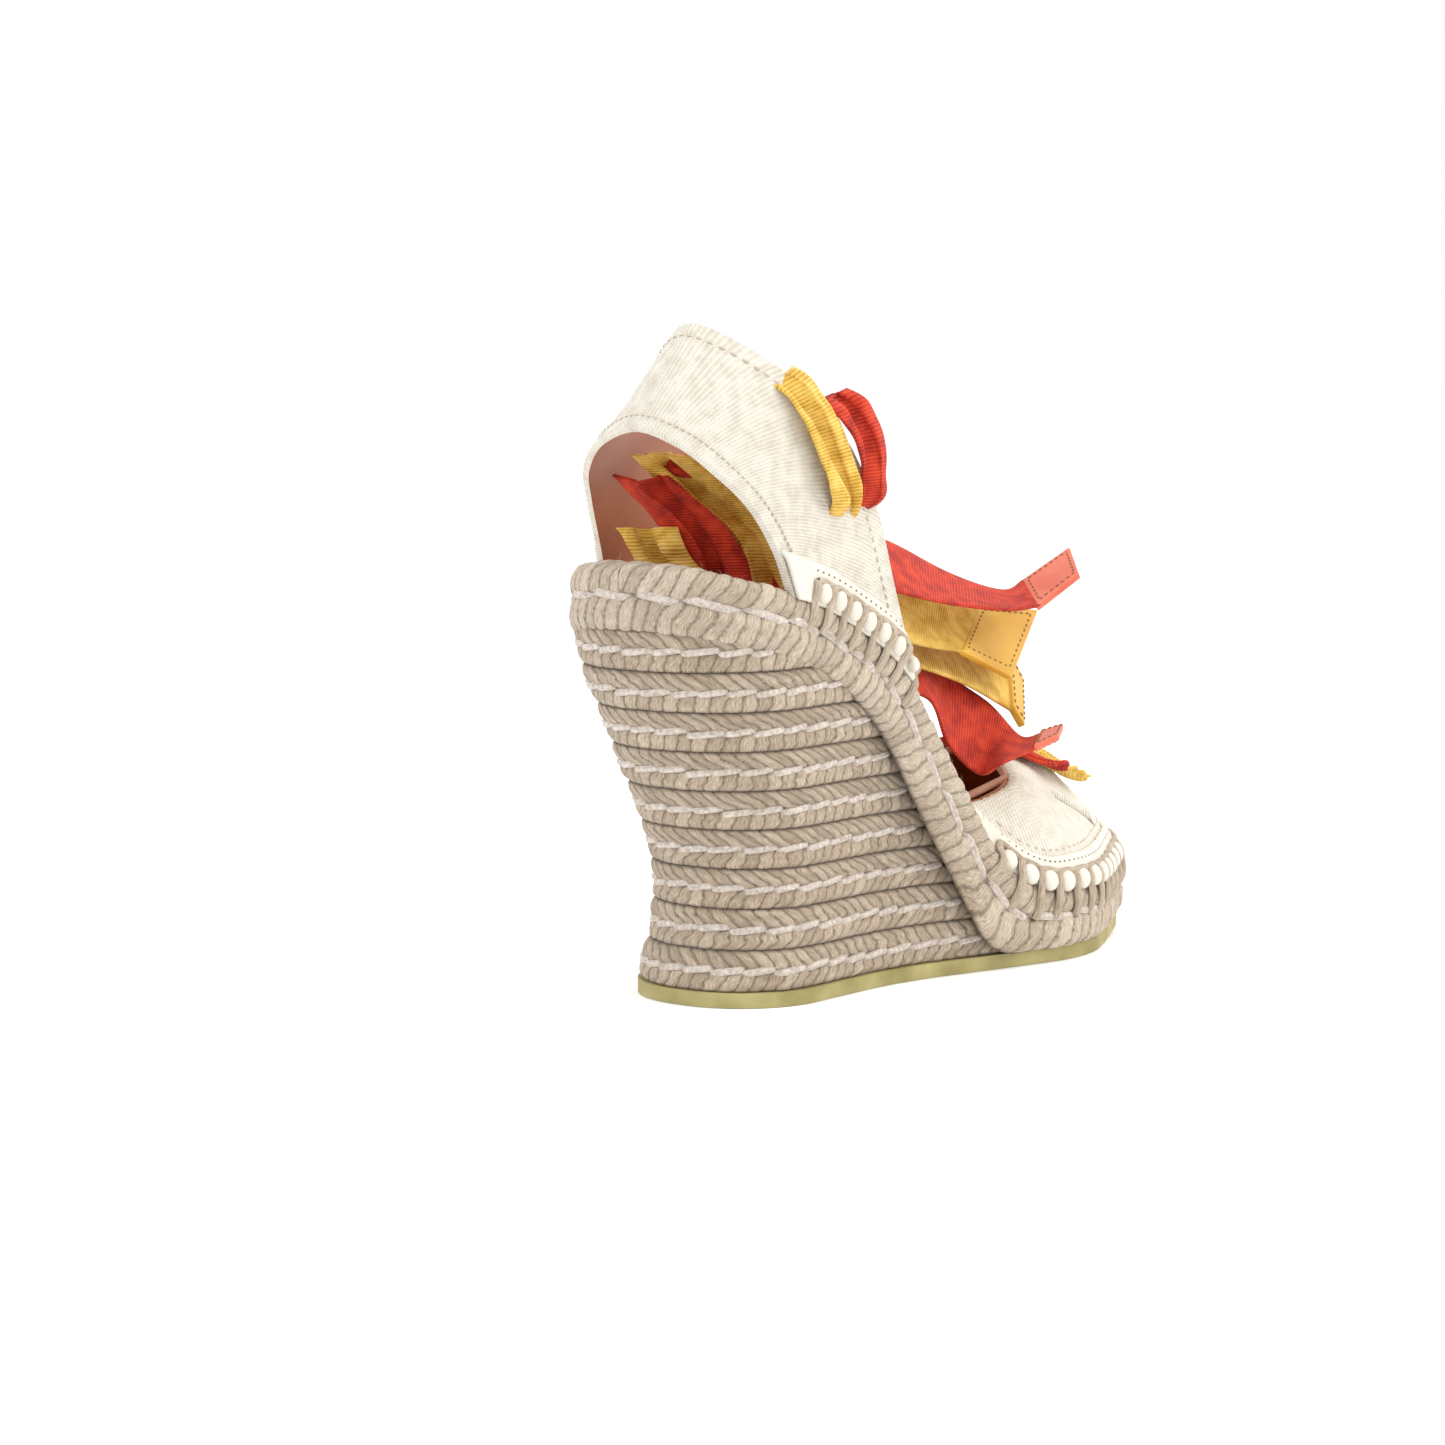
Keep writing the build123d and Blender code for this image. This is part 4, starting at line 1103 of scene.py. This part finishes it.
def tie(name, edges, faces, node, body="sole_unit", folds=0, depth=0.0, tuck=0.0, spread=1.0, wave=0.6, seed=0.0,
        part=(0.0, 1.0)):
    """One stretch of ribbon between edge points; gathered ones are pleated along their length."""
    first, second = [a for a, b in edges], [b for a, b in edges]
    last = len(edges) - 1
    middle = [smooth_path(first, last * k / 40).lerp(smooth_path(second, last * k / 40), 0.5) for k in range(41)]
    length = lengths_along(middle)[-1]

    def spot(u, v):
        share = part[1] + (part[0] - part[1]) * v
        here = smooth_path(first, last * u)
        there = smooth_path(second, last * u)
        share = 0.5 + (share - 0.5) * spread
        point = here.lerp(there, share)
        run = smooth_path(first, last * u + 0.03) + smooth_path(second, last * u + 0.03) \
            - smooth_path(first, last * u - 0.03) - smooth_path(second, last * u - 0.03)
        width = (there - here).normalized()
        out = width.cross(run).normalized()
        swing = 1.6 * math.sin(3.1 * u + seed) + 1.1 * noise.noise(Vector((u * 4, seed, 0)))
        pleat = math.sin(2 * math.pi * folds * v + swing) if folds else 0.0
        lift = depth * pleat * (0.75 + 0.4 * noise.noise(Vector((u * 5, v * 2, seed))))
        lift += wave * math.sin(u * 7 + seed) * (0.4 + 0.6 * v)
        lift -= tuck * max(0.0, 1 - min(u, 1 - u) * 7) ** 2
        sag = width * (depth * 0.5 * math.cos(4 * math.pi * folds * v + swing)) if folds else Vector((0, 0, 0))
        return place(*(point + out * lift + sag)), (u * length * MM, v * RIBBON_WIDTH), 0.5, 0.0

    made = grid_piece(name, max(30, round(length / 1.1)), 44 if folds else 22, spot, faces[0])
    made.data.materials.append(faces[1])
    cloth = made.modifiers.new("woven_double_face", "SOLIDIFY")
    cloth.thickness = 0.9 * MM
    cloth.offset = 0
    cloth.material_offset = 1
    cloth.material_offset_rim = 0
    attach(made, body)
    if node:
        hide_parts(node)
    return made


def tip(name, start, end, material, node):
    """A leather tip folded over a ribbon's end and sewn round its edge."""
    along = ((end[0] + end[1]) - (start[0] + start[1])).normalized()
    start = (start[0] - along * 1.2, start[1] - along * 1.2)

    def spot(u, v):
        point = start[0].lerp(end[0], u).lerp(start[1].lerp(end[1], u), 1 - v)
        return place(*point), (u * 0.03, v * RIBBON_WIDTH), 0.5, 0.0

    made = grid_piece(name, 16, 12, spot, material)
    skin = made.modifiers.new("folded_leather", "SOLIDIFY")
    skin.thickness = 2.2 * MM
    skin.offset = 0
    round_off = made.modifiers.new("worn_edge", "BEVEL")
    round_off.width = 0.5 * MM
    round_off.segments = 2
    round_off.limit_method = "ANGLE"
    round_off.angle_limit = math.radians(50)
    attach(made, "sole_unit")
    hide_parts(node)
    inset = 0.09
    frame_line = [(inset, inset), (1 - inset, inset), (1 - inset, 1 - inset), (inset, 1 - inset), (inset, inset)]
    out = (start[1] - start[0]).cross(end[0] - start[0]).normalized()
    shape = empty_stitches()
    for face in (1, -1):
        line = [start[0].lerp(end[0], u).lerp(start[1].lerp(end[1], u), v) + out * face * 1.15 for u, v in frame_line]
        lengths = lengths_along(line)
        count = round(lengths[-1] / 2.6)
        for k in range(count):
            ends = [lengths[-1] * (k + part) / count for part in (0.0, 0.3, 0.62)]
            path = [place(*walk(line, lengths, d)) for d in ends]
            lay_thread(shape, path, out * face, 0.5 * MM, 0.3 * MM, 0.3 * MM)
    sewn = piece_from(shape, name + "_stitches", dark_sewing)
    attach(sewn, "sole_unit")


for number, (name, pairs) in enumerate(TAILS.items()):
    edges = [(FOREPART + Vector(upper), FOREPART + Vector(lower)) for upper, lower in pairs]
    faces = (red_ribbon, yellow_ribbon) if "red" in name else (yellow_ribbon, red_ribbon)
    tie(name + "_tie", edges[:-1], faces, name, seed=number * 1.7)
    leather, slot_name = (red_tip, "tip_red") if "red" in name else (yellow_tip, "tip_yellow")
    tip(name + "_leather", edges[-2], edges[-1], leather, name + "_tip")

turn_across = Vector((0.63, -0.78, 0.0))
for number, (name, points) in enumerate(BUNDLE.items()):
    edges = [(FOREPART + Vector(p) + turn_across * 7.5, FOREPART + Vector(p) - turn_across * 7.5) for p in points]
    faces = (red_ribbon, red_ribbon) if "red" in name else (yellow_ribbon, yellow_ribbon)
    tie(name + "_tie", edges, faces, name, folds=1.3, depth=2.8, seed=number * 2.3, wave=1.2)

for name, route in STRAP_LOOPS.items():
    for side, where in ((-1, "outer_"), (1, "inner_")):
        edges = []
        for place_on, share in route:
            centre = strap_raw(place_on, share)
            run = strap_raw(place_on + 0.05, 0.5) - strap_raw(place_on - 0.05, 0.5)
            width = (strap_raw(place_on, 1) - strap_raw(place_on, 0)).normalized()
            out = width.cross(run).normalized()
            pair = [centre + out * 2.6 + width * 5.2, centre + out * 2.6 - width * 5.2]
            pair = [Vector((p.x, p.y * -side, p.z)) for p in pair]
            edges.append(tuple(pair if side > 0 else reversed(pair)))
        faces = (red_ribbon, red_ribbon) if "red" in name else (yellow_ribbon, yellow_ribbon)
        tie(where + name + "_tie", edges, faces, where + name, body="heel_strap", folds=1.2, depth=1.9, tuck=4.0,
            seed=4.1 if "red" in name else 1.3, wave=0.3)

sides = VAMP_RIBBON + [((a[0], -a[1]), (b[0], -b[1])) for a, b in VAMP_RIBBON[-2::-1]]
edges = []
for pair in sides:
    tops = []
    for back, y in pair:
        tries = (canvas_tree.ray_cast(place(SHOE_LENGTH - back + step, y * 0.9, 200), Vector((0, 0, -1)), 0.2)[0]
                 for step in range(20))
        tops.append(next(hit for hit in tries if hit))
    edges.append(tuple(Vector((SHOE_LENGTH - back, y, top.z / MM + 2.6)) for (back, y), top in zip(pair, tops)))
tie("toe_tie_yellow", edges, (yellow_ribbon, yellow_ribbon), "vamp_ribbon", folds=2.5, depth=1.5, tuck=3.5, seed=0.8,
    wave=0.2, part=(0.0, 0.62))
tie("toe_tie_red", edges, (red_ribbon, red_ribbon), None, folds=1, depth=1.4, tuck=3.5, seed=2.4, wave=0.2,
    part=(0.6, 1.0))
